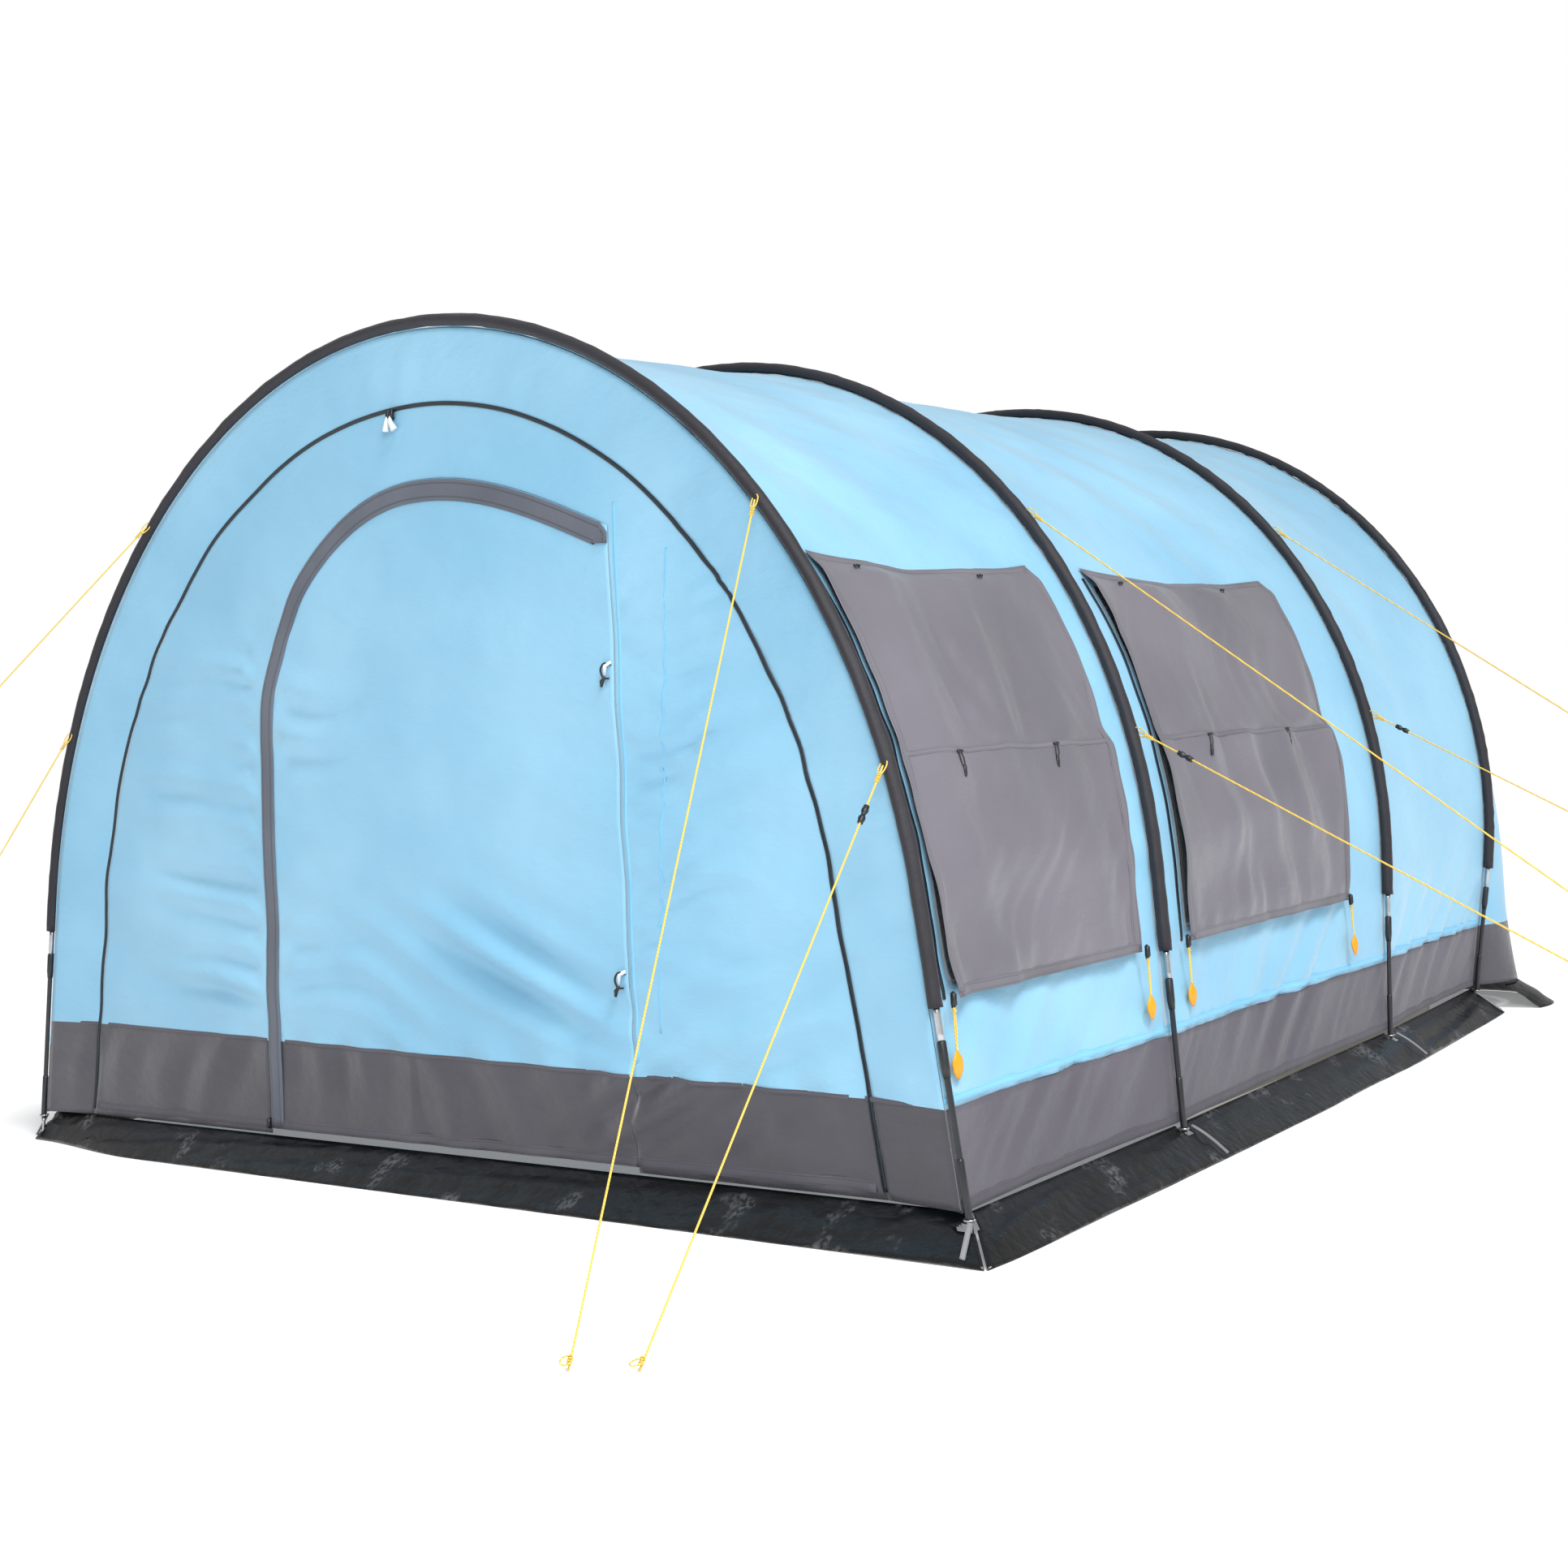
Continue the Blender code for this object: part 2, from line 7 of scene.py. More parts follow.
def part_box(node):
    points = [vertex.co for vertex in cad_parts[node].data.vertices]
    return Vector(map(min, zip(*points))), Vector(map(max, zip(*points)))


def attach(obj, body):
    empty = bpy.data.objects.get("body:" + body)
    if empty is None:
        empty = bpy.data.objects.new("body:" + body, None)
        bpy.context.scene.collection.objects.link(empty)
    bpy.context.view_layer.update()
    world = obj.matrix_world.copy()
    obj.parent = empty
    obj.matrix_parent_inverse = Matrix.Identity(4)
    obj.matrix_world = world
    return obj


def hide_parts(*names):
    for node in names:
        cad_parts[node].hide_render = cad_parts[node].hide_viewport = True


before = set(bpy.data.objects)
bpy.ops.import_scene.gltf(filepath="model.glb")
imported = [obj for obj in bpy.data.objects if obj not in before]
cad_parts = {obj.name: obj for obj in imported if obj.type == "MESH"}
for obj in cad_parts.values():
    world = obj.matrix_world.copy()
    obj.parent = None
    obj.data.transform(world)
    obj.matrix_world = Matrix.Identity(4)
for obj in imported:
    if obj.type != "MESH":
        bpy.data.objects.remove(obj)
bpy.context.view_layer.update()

# the tent's own lines: y is measured from the first arch and z from the walls' hem; the first arch's left
# sleeve is tied up higher than the others; roofArc is about the arc from a wall's top to the crown
tent = {"hemHeight": 0.08, "middleY": 1.8575, "rise": 2.0, "wallTop": 1.27, "wallInset": 0.0163,
        "bandTop": 0.19, "sleeveStart": 0.38, "leftSleeveStart": 0.51, "roofArc": 1.35, "body": "tent"}
arches = [
    {"y": 0.0, "radius": 1.603, "leg": 0.119, "lean": 0.0},
    {"y": 0.924, "radius": 1.546, "leg": 0.078, "lean": 0.08},
    {"y": 2.327, "radius": 1.456, "leg": -0.034, "lean": 0.09},
    {"y": 3.285, "radius": 1.385, "leg": -0.18, "lean": 0.04},
]


def place(x, y, z):
    x, y, z = np.broadcast_arrays(np.asarray(x, float), y, z)
    return np.stack([x, y - tent["middleY"], z + tent["hemHeight"]], -1)


# ---- camera

camera = {"at": (4.071, -5.0275, 0.95), "yaw": 0.67047, "pitch": -0.11037, "roll": -0.06321,
          "lens": 46.96, "shiftX": -0.0621, "shiftY": -0.1638}


def addCamera():
    made = bpy.data.cameras.new("studioCamera")
    made.lens, made.sensor_width = camera["lens"], 36.0
    made.shift_x, made.shift_y = camera["shiftX"], camera["shiftY"]
    seen = bpy.data.objects.new("studioCamera", made)
    bpy.context.scene.collection.objects.link(seen)
    yaw, pitch, roll = camera["yaw"], camera["pitch"], camera["roll"]
    ahead = Vector((-sin(yaw) * cos(pitch), cos(yaw) * cos(pitch), -sin(pitch)))
    level = Vector((cos(yaw), sin(yaw), 0))
    top = level.cross(ahead)
    across = level * cos(roll) + top * sin(roll)
    up = top * cos(roll) - level * sin(roll)
    turned = Matrix((across, up, -ahead)).transposed().to_4x4()
    seen.matrix_world = Matrix.Translation(camera["at"]) @ turned
    bpy.context.scene.camera = seen


# ---- small tools for materials

def linearColour(hexCode):
    channels = [int(hexCode[i:i + 2], 16) / 255 for i in (0, 2, 4)]
    return [c / 12.92 if c <= 0.04045 else ((c + 0.055) / 1.055) ** 2.4 for c in channels] + [1.0]


def addNode(tree, kind, settings=None, links=None):
    node = tree.nodes.new("ShaderNode" + kind)
    for key, value in (settings or {}).items():
        if isinstance(key, str) and hasattr(node, key):
            setattr(node, key, value)
        else:
            node.inputs[key].default_value = value
    for key, socket in (links or {}).items():
        tree.links.new(socket, node.inputs[key])
    return node


def startMaterial(name, roughness, settings=None):
    made = bpy.data.materials.new(name)
    made.use_nodes = True
    tree = made.node_tree
    shader = tree.nodes["Principled BSDF"]
    shader.inputs["Roughness"].default_value = roughness
    for key, value in (settings or {}).items():
        shader.inputs[key].default_value = value
    where = addNode(tree, "TexCoord").outputs["Object"]
    return made, tree, shader, where


def mixColours(tree, share, first, second):
    links = {0: share}
    settings = {"data_type": "RGBA"}
    for key, colour in ((6, first), (7, second)):
        if isinstance(colour, str):
            settings[key] = linearColour(colour)
        else:
            links[key] = colour
    return addNode(tree, "Mix", settings, links).outputs[2]


def mapped(tree, where, scale, turn=(0, 0, 0)):
    return addNode(tree, "Mapping", {"Scale": scale, "Rotation": turn}, {"Vector": where}).outputs[0]


def patches(tree, where, size, low, high, detail=3.0, scale=(1, 1, 1), turn=(0, 0, 0)):
    # uneven patches about size metres across, 0 below low and 1 above high
    cloud = addNode(tree, "TexNoise", {"Scale": 1 / size, "Detail": detail},
                    {"Vector": mapped(tree, where, scale, turn)})
    spread = addNode(tree, "MapRange", {"From Min": low, "From Max": high}, {"Value": cloud.outputs[0]})
    return spread.outputs[0]


def waveScale(pitch):
    # the wave texture's scale that puts its bands pitch metres apart
    return pi / 10 / pitch


def weaveHeight(tree, where, pitch):
    # warp and weft as crossing bands, pitch metres from thread to thread
    total = None
    for axis in "XYZ":
        settings = {"bands_direction": axis, "Scale": waveScale(pitch), "Distortion": 0.3}
        band = addNode(tree, "TexWave", settings, {"Vector": where}).outputs["Fac"]
        if total is None:
            total = band
        else:
            total = addNode(tree, "Math", {"operation": "ADD"}, {0: total, 1: band}).outputs[0]
    return total


def addBump(tree, shader, heights):
    # heights: (socket, strength, depth in metres), coarse first
    last = None
    for height, strength, depth in heights:
        links = {"Height": height}
        if last is not None:
            links["Normal"] = last
        last = addNode(tree, "Bump", {"Strength": strength, "Distance": depth}, links).outputs[0]
    tree.links.new(last, shader.inputs["Normal"])


# Coated polyester taffeta, plain woven and calendered: a smooth even colour with a soft sheen, fine
# puckers between its seams, and a shade that drifts a little. Threads lie 0.25 mm apart; the weave is
# drawn at 2.5 mm so that it shows at all.
taffeta = {"weavePitch": 0.0025, "weaveDepth": 0.0002, "puckerSize": 0.035, "puckerDepth": 0.0016,
           "creaseSize": 0.16, "creaseDepth": 0.006, "driftSize": 0.5, "bandDriftSize": 0.3}
# the grey lower part of the front and rear cloths starts at this height and rises towards the left
frontBand = {"middle": 0.222, "slope": 0.021}


def taffetaMaterial(name, light, dark, roughness=0.5, sheen=0.3, bandColours=None, puckers=1.0):
    made, tree, shader, where = startMaterial(name, roughness, {
        "Sheen Weight": sheen, "Sheen Roughness": 0.4, "Specular IOR Level": 0.45, "IOR": 1.5})
    colour = mixColours(tree, patches(tree, where, taffeta["driftSize"], 0.35, 0.65), light, dark)
    if bandColours:
        band = mixColours(tree, patches(tree, where, taffeta["bandDriftSize"], 0.35, 0.65), *bandColours)
        colour = mixColours(tree, bandShare(tree, where), colour, band)
    tree.links.new(colour, shader.inputs["Base Color"])
    pucker = patches(tree, where, taffeta["puckerSize"], 0.3, 0.7, 2.0, (1, 1, 2.2))
    crease = patches(tree, where, taffeta["creaseSize"], 0.25, 0.75, 4.0, (1, 1.4, 1.6), (0.5, 0.3, 0.2))
    addBump(tree, shader, [(crease, 0.5 * puckers, taffeta["creaseDepth"]),
                           (pucker, 0.35 * puckers, taffeta["puckerDepth"]),
                           (weaveHeight(tree, where, taffeta["weavePitch"]), 0.25, taffeta["weaveDepth"])])
    return made


def bandShare(tree, where):
    # 1 under the seam where the grey lower band starts
    apart = addNode(tree, "SeparateXYZ", {}, {0: where})
    line = addNode(tree, "Math", {"operation": "MULTIPLY_ADD", 1: -frontBand["slope"],
                                  2: frontBand["middle"] + tent["hemHeight"]}, {0: apart.outputs["X"]})
    under = addNode(tree, "Math", {"operation": "LESS_THAN"}, {0: apart.outputs["Z"], 1: line.outputs[0]})
    return under.outputs[0]


# Black polyethylene film on a scrim: glossy, covered with small hard creases, with pale dust and scuffs.
# The scrim's threads lie 2.5 mm apart.
def groundsheetMaterial():
    made, tree, shader, where = startMaterial("blackPolyethyleneFilm", 0.36, {
        "Specular IOR Level": 0.5, "IOR": 1.51})
    base = mixColours(tree, patches(tree, where, 0.12, 0.35, 0.7), "060708", "101114")
    dust = patches(tree, where, 0.16, 0.56, 0.78, 8.0)
    fine = patches(tree, where, 0.012, 0.42, 0.62, 6.0)
    scuff = addNode(tree, "Math", {"operation": "MULTIPLY"}, {0: dust, 1: fine}).outputs[0]
    tree.links.new(mixColours(tree, scuff, base, "8B8D90"), shader.inputs["Base Color"])
    rough = addNode(tree, "MapRange", {"To Min": 0.24, "To Max": 0.75}, {"Value": scuff}).outputs[0]
    tree.links.new(rough, shader.inputs["Roughness"])
    crease = addNode(tree, "TexVoronoi", {"Scale": 16.0, "feature": "DISTANCE_TO_EDGE"},
                     {"Vector": mapped(tree, where, (1, 1.5, 1))}).outputs["Distance"]
    small = patches(tree, where, 0.02, 0.3, 0.7, 5.0)
    addBump(tree, shader, [(crease, 0.3, 0.012), (small, 0.3, 0.003),
                           (weaveHeight(tree, where, 0.0025), 0.2, 0.0003)])
    return made


def plainMaterial(name, light, dark, roughness, settings=None, grain=0.004, grainDepth=0.0002):
    # one finish with a little drift in its shade and a fine grain
    made, tree, shader, where = startMaterial(name, roughness, settings)
    colour = mixColours(tree, patches(tree, where, 0.05, 0.3, 0.7), light, dark)
    tree.links.new(colour, shader.inputs["Base Color"])
    addBump(tree, shader, [(patches(tree, where, grain, 0.3, 0.7), 0.4, grainDepth)])
    return made


# Stitched tape or hem: the cloth's own colour with two rows of thread, whose stitches are 4.2 mm long and
# repeat every 6 mm. The rows run at 0.62 of the half width from the middle.
stitching = {"repeat": 0.006, "length": 0.0042, "rowAt": 0.62, "rowWidth": 0.07}


def stitchedMaterial(name, light, dark, thread, roughness=0.6):
    made, tree, shader, where = startMaterial(name, roughness, {
        "Sheen Weight": 0.1, "Specular IOR Level": 0.3})
    uv = addNode(tree, "UVMap", {"uv_map": "seam"}).outputs[0]
    apart = addNode(tree, "SeparateXYZ", {}, {0: uv})
    turn = addNode(tree, "Math", {"operation": "MODULO", 1: stitching["repeat"]},
                   {0: apart.outputs["X"]}).outputs[0]
    dash = addNode(tree, "Math", {"operation": "LESS_THAN", 1: stitching["length"]}, {0: turn}).outputs[0]
    side = addNode(tree, "Math", {"operation": "ABSOLUTE"}, {0: apart.outputs["Y"]}).outputs[0]
    row = addNode(tree, "Math", {"operation": "COMPARE", 1: stitching["rowAt"], 2: stitching["rowWidth"]},
                  {0: side}).outputs[0]
    stitch = addNode(tree, "Math", {"operation": "MULTIPLY"}, {0: dash, 1: row}).outputs[0]
    base = mixColours(tree, patches(tree, where, 0.3, 0.35, 0.65), light, dark)
    tree.links.new(mixColours(tree, stitch, base, thread), shader.inputs["Base Color"])
    addBump(tree, shader, [(patches(tree, where, 0.02, 0.3, 0.7), 0.4, 0.0012),
                           (weaveHeight(tree, where, taffeta["weavePitch"]), 0.25, taffeta["weaveDepth"]),
                           (stitch, 0.5, 0.0006)])
    return made


# Spiral coil zip: a black tape with nylon teeth 1.5 mm apart, drawn 3 mm apart so that they show.
def zipMaterial():
    made, tree, shader, where = startMaterial("nylonCoilZip", 0.42, {"Specular IOR Level": 0.5, "IOR": 1.53})
    uv = addNode(tree, "UVMap", {"uv_map": "seam"}).outputs[0]
    apart = addNode(tree, "SeparateXYZ", {}, {0: uv})
    turn = addNode(tree, "Math", {"operation": "PINGPONG", 1: 0.0015}, {0: apart.outputs["X"]}).outputs[0]
    side = addNode(tree, "Math", {"operation": "ABSOLUTE"}, {0: apart.outputs["Y"]}).outputs[0]
    middle = addNode(tree, "Math", {"operation": "LESS_THAN", 1: 0.55}, {0: side}).outputs[0]
    teeth = addNode(tree, "Math", {"operation": "MULTIPLY"}, {0: turn, 1: middle}).outputs[0]
    tree.links.new(mixColours(tree, patches(tree, where, 0.05, 0.3, 0.7), "0E1A24", "182631"),
                   shader.inputs["Base Color"])
    addBump(tree, shader, [(middle, 0.6, 0.001), (teeth, 1.0, 1.0)])
    return made


# Braided polyester guy line: a 16-plait cover, whose strands slant round it every 4 mm.
def cordMaterial():
    made, tree, shader, where = startMaterial("braidedPolyesterCord", 0.55, {"Sheen Weight": 0.2})
    settings = {"bands_direction": "DIAGONAL", "Scale": waveScale(0.004), "Distortion": 1.0}
    strands = addNode(tree, "TexWave", settings, {"Vector": where}).outputs["Fac"]
    tree.links.new(mixColours(tree, strands, "F3D05A", "E0B23A"), shader.inputs["Base Color"])
    addBump(tree, shader, [(strands, 0.5, 0.0005)])
    return made


flyLight, flyDark = "91C4DF", "81B8D6"
look = {
    "fly": taffetaMaterial("blueCoatedTaffeta", flyLight, flyDark),
    "front": taffetaMaterial("blueCoatedTaffetaFront", flyLight, flyDark, bandColours=("4C4A51", "434148")),
    "rear": taffetaMaterial("blueCoatedTaffetaRear", flyLight, flyDark, bandColours=("57555C", "4D4B52")),
    "band": taffetaMaterial("greyCoatedTaffeta", "605D66", "55525B", sheen=0.15),
    "cover": taffetaMaterial("greySatinTaffeta", "726F78", "65636B", roughness=0.42, sheen=0.2, puckers=0.9),
    "sleeve": taffetaMaterial("blackWovenPolyester", "27262D", "1E1D23", roughness=0.62, sheen=0.15),
    "flap": groundsheetMaterial(),
    "pole": plainMaterial("blackCoatedFibreglass", "1C1F22", "282B2F", 0.33, {"IOR": 1.5}),
    "steel": plainMaterial("zincPlatedSteel", "C4C6C8", "A9ACB0", 0.3, {"Metallic": 1.0}),
    "grip": plainMaterial("orangeMouldedNylon", "F7A412", "EC9408", 0.38, {"IOR": 1.53}, 0.002),
    "black": plainMaterial("blackMouldedNylon", "15171A", "22252A", 0.4, {"IOR": 1.53}, 0.002),
    "white": plainMaterial("whiteMouldedNylon", "E8EEF2", "D3DCE3", 0.4, {"IOR": 1.53}, 0.002),
    "webbing": stitchedMaterial("greyPolyesterWebbing", "8E9092", "77797C", "5A5C60"),
    "flySeam": stitchedMaterial("blueSeamTape", "86C5E9", "79BDE2", "5FA3CC"),
    "coverSeam": stitchedMaterial("greyHem", "727078", "66646B", "4E4C53"),
    "bandSeam": stitchedMaterial("darkGreyHem", "5A575F", "504D56", "3C3A41"),
    "storm": stitchedMaterial("greyStormFlap", "646974", "565B66", "434750"),
    "zip": zipMaterial(),
    "cord": cordMaterial(),
    "cabin": taffetaMaterial("breathableCabinPolyester", "D9D6CC", "CBC8BE", roughness=0.8, sheen=0.1),
}


# Clear PVC film: glass-like, faintly rippled, so that its reflections wander.
def filmMaterial():
    made, tree, shader, where = startMaterial("clearPvcFilm", 0.06, {"Transmission Weight": 0.9, "IOR": 1.5})
    tree.links.new(mixColours(tree, patches(tree, where, 0.2, 0.3, 0.7), "EEF4F6", "E2ECF0"),
                   shader.inputs["Base Color"])
    addBump(tree, shader, [(patches(tree, where, 0.08, 0.3, 0.7), 0.4, 0.002)])
    return made


look["film"] = filmMaterial()
print("materials ready")


# ---- small tools for shapes

def finishPiece(made, body, stands=()):
    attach(made, body)
    if stands:
        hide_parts(*stands)
    return made


def addMesh(name, points, faces, materialName, uv=None, smooth=True):
    mesh = bpy.data.meshes.new(name)
    mesh.from_pydata([tuple(p) for p in np.asarray(points, float)], [], faces)
    if uv is not None:
        layer = mesh.uv_layers.new(name="seam")
        corners = np.zeros(len(mesh.loops), dtype=np.int64)
        mesh.loops.foreach_get("vertex_index", corners)
        layer.data.foreach_set("uv", np.asarray(uv, np.float32)[corners].ravel())
    mesh.polygons.foreach_set("use_smooth", [smooth] * len(mesh.polygons))
    mesh.materials.append(look[materialName])
    made = bpy.data.objects.new(name, mesh)
    bpy.context.scene.collection.objects.link(made)
    return made


def gridFaces(rows, columns, skip=None, loop=False):
    faces = []
    for i in range(rows - 1):
        for j in range(columns if loop else columns - 1):
            if skip is None or not skip[i, j]:
                n = (j + 1) % columns
                faces.append((i * columns + j, i * columns + n, (i + 1) * columns + n, (i + 1) * columns + j))
    return faces


def addCloth(name, grid, materialName, skip=None, loop=False, thickness=0.0012):
    # a sheet laid on a grid of points, given its real thickness
    rows, columns = grid.shape[:2]
    faces = gridFaces(rows, columns, skip, loop)
    used = np.unique(np.array(faces))
    index = np.zeros(rows * columns, int)
    index[used] = np.arange(len(used))
    points = grid.reshape(-1, 3)[used]
    made = addMesh(name, points, [tuple(int(index[v]) for v in f) for f in faces], materialName)
    skin = made.modifiers.new("thickness", "SOLIDIFY")
    skin.thickness, skin.offset = thickness, 0.0
    return made


def ripple(a, b, seed, waves=7):
    # smooth uneven ripple over a plane, about -1 to 1
    draw = np.random.default_rng(seed)
    total = 0.0
    for _ in range(waves):
        turn, speed, phase = draw.uniform(0, 2 * pi), draw.uniform(0.6, 1.6), draw.uniform(0, 2 * pi)
        total = total + np.sin(speed * (a * cos(turn) + b * sin(turn)) + phase)
    return total * 0.9 / sqrt(waves)


def folds(across, along, spacing, length, seed, wander=1.3):
    # long soft folds, spacing apart, whose lines wander and fade along their length
    phase = 2 * pi * across / spacing + wander * ripple(along * 6 / length, across * 1.2 / spacing, seed)
    swell = 0.5 + 0.5 * ripple(along * 6 / length, across * 2 / spacing, seed + 50)
    wave = np.sin(phase)
    return np.sign(wave) * np.abs(wave) ** 1.4 * np.clip(swell, 0, 1.3)


def ease(value, low, high):
    share = np.clip((value - low) / (high - low), 0, 1)
    return share * share * (3 - 2 * share)


def between(value, low, full, past, gone):
    # 0 up to low, 1 from full to past, and 0 again from gone
    return ease(value, low, full) * (1 - ease(value, past, gone))


def runOf(path):
    # length of the path up to each of its points
    return np.concatenate([[0], np.cumsum(np.linalg.norm(np.diff(path, axis=0), axis=1))])


def onGrid(grid, a, b):
    # point of a grid at row share a and column share b
    rows, columns = grid.shape[0] - 1, grid.shape[1] - 1
    i, j = np.clip(a * rows, 0, rows - 1e-6), np.clip(b * columns, 0, columns - 1e-6)
    i0, j0 = i.astype(int), j.astype(int)
    s, t = (i - i0)[:, None], (j - j0)[:, None]
    return ((grid[i0, j0] * (1 - t) + grid[i0, j0 + 1] * t) * (1 - s)
            + (grid[i0 + 1, j0] * (1 - t) + grid[i0 + 1, j0 + 1] * t) * s)


def unit(vectors):
    return vectors / np.maximum(np.linalg.norm(vectors, axis=-1, keepdims=True), 1e-9)


def gridNormals(grid, a, b):
    step = 0.004
    first = onGrid(grid, a + step, b) - onGrid(grid, a - step, b)
    second = onGrid(grid, a, b + step) - onGrid(grid, a, b - step)
    return unit(np.cross(first, second))


def addStrip(name, path, normals, width, lift, materialName, body, crown=0.0006, clear=0.0009):
    # flat tape sewn on along a path, with turned edges; normals point out of the cloth
    path, normals = np.asarray(path, float), unit(np.asarray(normals, float))
    tangents = unit(np.gradient(path, axis=0))
    side = unit(np.cross(normals, tangents))
    widths = np.broadcast_to(np.asarray(width, float), len(path))[:, None]
    profile = [(-1.0, 0.0), (-0.97, 0.8), (-0.85, 1.0), (0.0, 1.0), (0.85, 1.0), (0.97, 0.8), (1.0, 0.0)]
    run = runOf(path)
    rows, uv = [], []
    for across, rise in profile:
        height = clear + lift * rise + crown * (1 - across * across)
        rows.append(path + side * widths * across / 2 + normals * height)
        uv.append(np.stack([run, np.full(len(run), across)], -1))
    base = clear * 0.3
    rows.append(path + side * widths * 0.5 + normals * base)
    rows.append(path - side * widths * 0.5 + normals * base)
    uv.extend([uv[-1], uv[0]])
    grid = np.stack(rows, 1)
    faces = gridFaces(len(path), len(rows), loop=True)
    ring = len(rows)
    faces.append(tuple(range(ring))[::-1])
    faces.append(tuple(range((len(path) - 1) * ring, len(path) * ring)))
    made = addMesh(name, grid.reshape(-1, 3), faces, materialName, np.stack(uv, 1).reshape(-1, 2))
    return finishPiece(made, body)


def addTubes(name, tubes, materialName, body, sides=10, stands=()):
    # one object of several swept tubes: (path, radii)
    points, faces = [], []
    for path, radii in tubes:
        path = np.asarray(path, float)
        radii = np.broadcast_to(np.asarray(radii, float), len(path))
        tangents = unit(np.gradient(path, axis=0))
        guide = np.array([0.0, 1.0, 0.0]) if abs(tangents[0][1]) < 0.8 else np.array([1.0, 0.0, 0.0])
        side = unit(np.cross(tangents[0], guide))
        start = len(points)
        for at, tangent, radius in zip(path, tangents, radii):
            side = unit(side - tangent * side.dot(tangent))
            up = np.cross(tangent, side)
            for k in range(sides):
                angle = 2 * pi * k / sides
                points.append(at + side * radius * cos(angle) + up * radius * sin(angle))
        faces += [tuple(start + v for v in f) for f in gridFaces(len(path), sides, loop=True)]
        faces.append(tuple(range(start, start + sides))[::-1])
        faces.append(tuple(range(len(points) - sides, len(points))))
    return finishPiece(addMesh(name, points, faces, materialName), body, stands)


def smoothPath(points, steps=8):
    # rounded line through the points
    points = np.asarray(points, float)
    padded = np.vstack([2 * points[0] - points[1], points, 2 * points[-1] - points[-2]])
    line = []
    for i in range(1, len(padded) - 2):
        a, b, c, d = padded[i - 1:i + 3]
        for t in np.linspace(0, 1, steps, endpoint=False):
            line.append(0.5 * (2 * b + (c - a) * t + (2 * a - 5 * b + 4 * c - d) * t ** 2
                               + (3 * b - a - 3 * c + d) * t ** 3))
    line.append(points[-1])
    return np.array(line)


# ---- guy lines: the same routes as the CAD cords, in metres

guyLines = {
    "radius": 0.002, "sleeveRadius": 0.015, "points": 24,
    "lines": [
        {"name": "front_right_upper", "arch": 0, "angle": 0.686, "side": 1, "end": (1.50, -0.87, None)},
        {"name": "front_right_lower", "arch": 0, "angle": 0.285, "side": 1, "end": (1.61, -0.82, None)},
        {"name": "front_left_upper", "arch": 0, "angle": 0.873, "side": -1, "end": (-1.261, -0.359, 1.171)},
        {"name": "front_left_lower", "arch": 0, "angle": 0.430, "side": -1, "end": (-1.585, -0.196, 0.691)},
        {"name": "middle_upper", "arch": 1, "angle": 0.687, "side": 1, "end": (2.498, 1.059, 0.478)},
        {"name": "middle_lower", "arch": 1, "angle": 0.279, "side": 1, "end": (2.501, 1.014, 0.346)},
        {"name": "rear_upper", "arch": 2, "angle": 0.682, "side": 1, "end": (2.026, 2.463, 0.838)},
        {"name": "rear_lower", "arch": 2, "angle": 0.241, "side": 1, "end": (2.020, 2.408, 0.576)},
    ],
    "runners": {"front_right_lower": 0.12, "middle_lower": 0.135, "rear_lower": 0.10},
}
# the wound knot at each line's far end and the wound eye at its arch, with the loop that each one holds
knot = {"back": 0.012, "lift": 0.004, "radius": 0.0038, "length": 0.014, "turns": 3.5,
        "loopBack": 0.02, "loopLength": 0.034, "loopWidth": 0.014}
eye = {"out": 0.03, "radius": 0.0036, "length": 0.02, "turns": 4.5,
       "loopOut": 0.022, "loopLength": 0.036, "loopWidth": 0.02}
runnerShape = {"halfLength": 0.02, "radius": 0.0062, "waist": 0.0018}


def guyRoute(line):
    arch = arches[line["arch"]]
    centre = tent["rise"] - arch["radius"]
    clear = guyLines["sleeveRadius"] + 2 * guyLines["radius"]
    forward, out = (-clear, 0.0) if line["arch"] == 0 else (0.0, clear)
    reach = arch["radius"] + out
    x, z = line["side"] * reach * cos(line["angle"]), centre + reach * sin(line["angle"])
    start = place(x, arch["y"] + arch["lean"] * z + forward, z)
    farX, farY, farZ = line["end"]
    end = place(farX, farY, -tent["hemHeight"] if farZ is None else farZ)
    if farZ is None:
        end[2] = 1.5 * guyLines["radius"]
    shares = np.linspace(0, 1, guyLines["points"])[:, None]
    return start * (1 - shares) + end * shares


def coilPath(at, along, radius, length, turns, steps=12):
    # helix round the line at + along, for a wound knot
    along = unit(np.asarray(along, float))
    side = unit(np.cross(along, [0.0, 1.0, 0.3]))
    up = np.cross(along, side)
    shares = np.linspace(0, 1, int(turns * steps) + 1)[:, None]
    angle = shares * turns * 2 * pi
    return at + along * (shares - 0.5) * length + side * radius * np.cos(angle) + up * radius * np.sin(angle)


def loopPath(at, along, length, width, steps=20):
    # closed eye of cord that starts at a point and reaches out along a line
    along = unit(np.asarray(along, float))
    side = unit(np.cross(along, [0.0, 1.0, 0.3]))
    angle = np.linspace(0.06, 2 * pi - 0.06, steps)[:, None]
    return at + along * length * (1 - np.cos(angle)) / 2 + side * width / 2 * np.sin(angle)


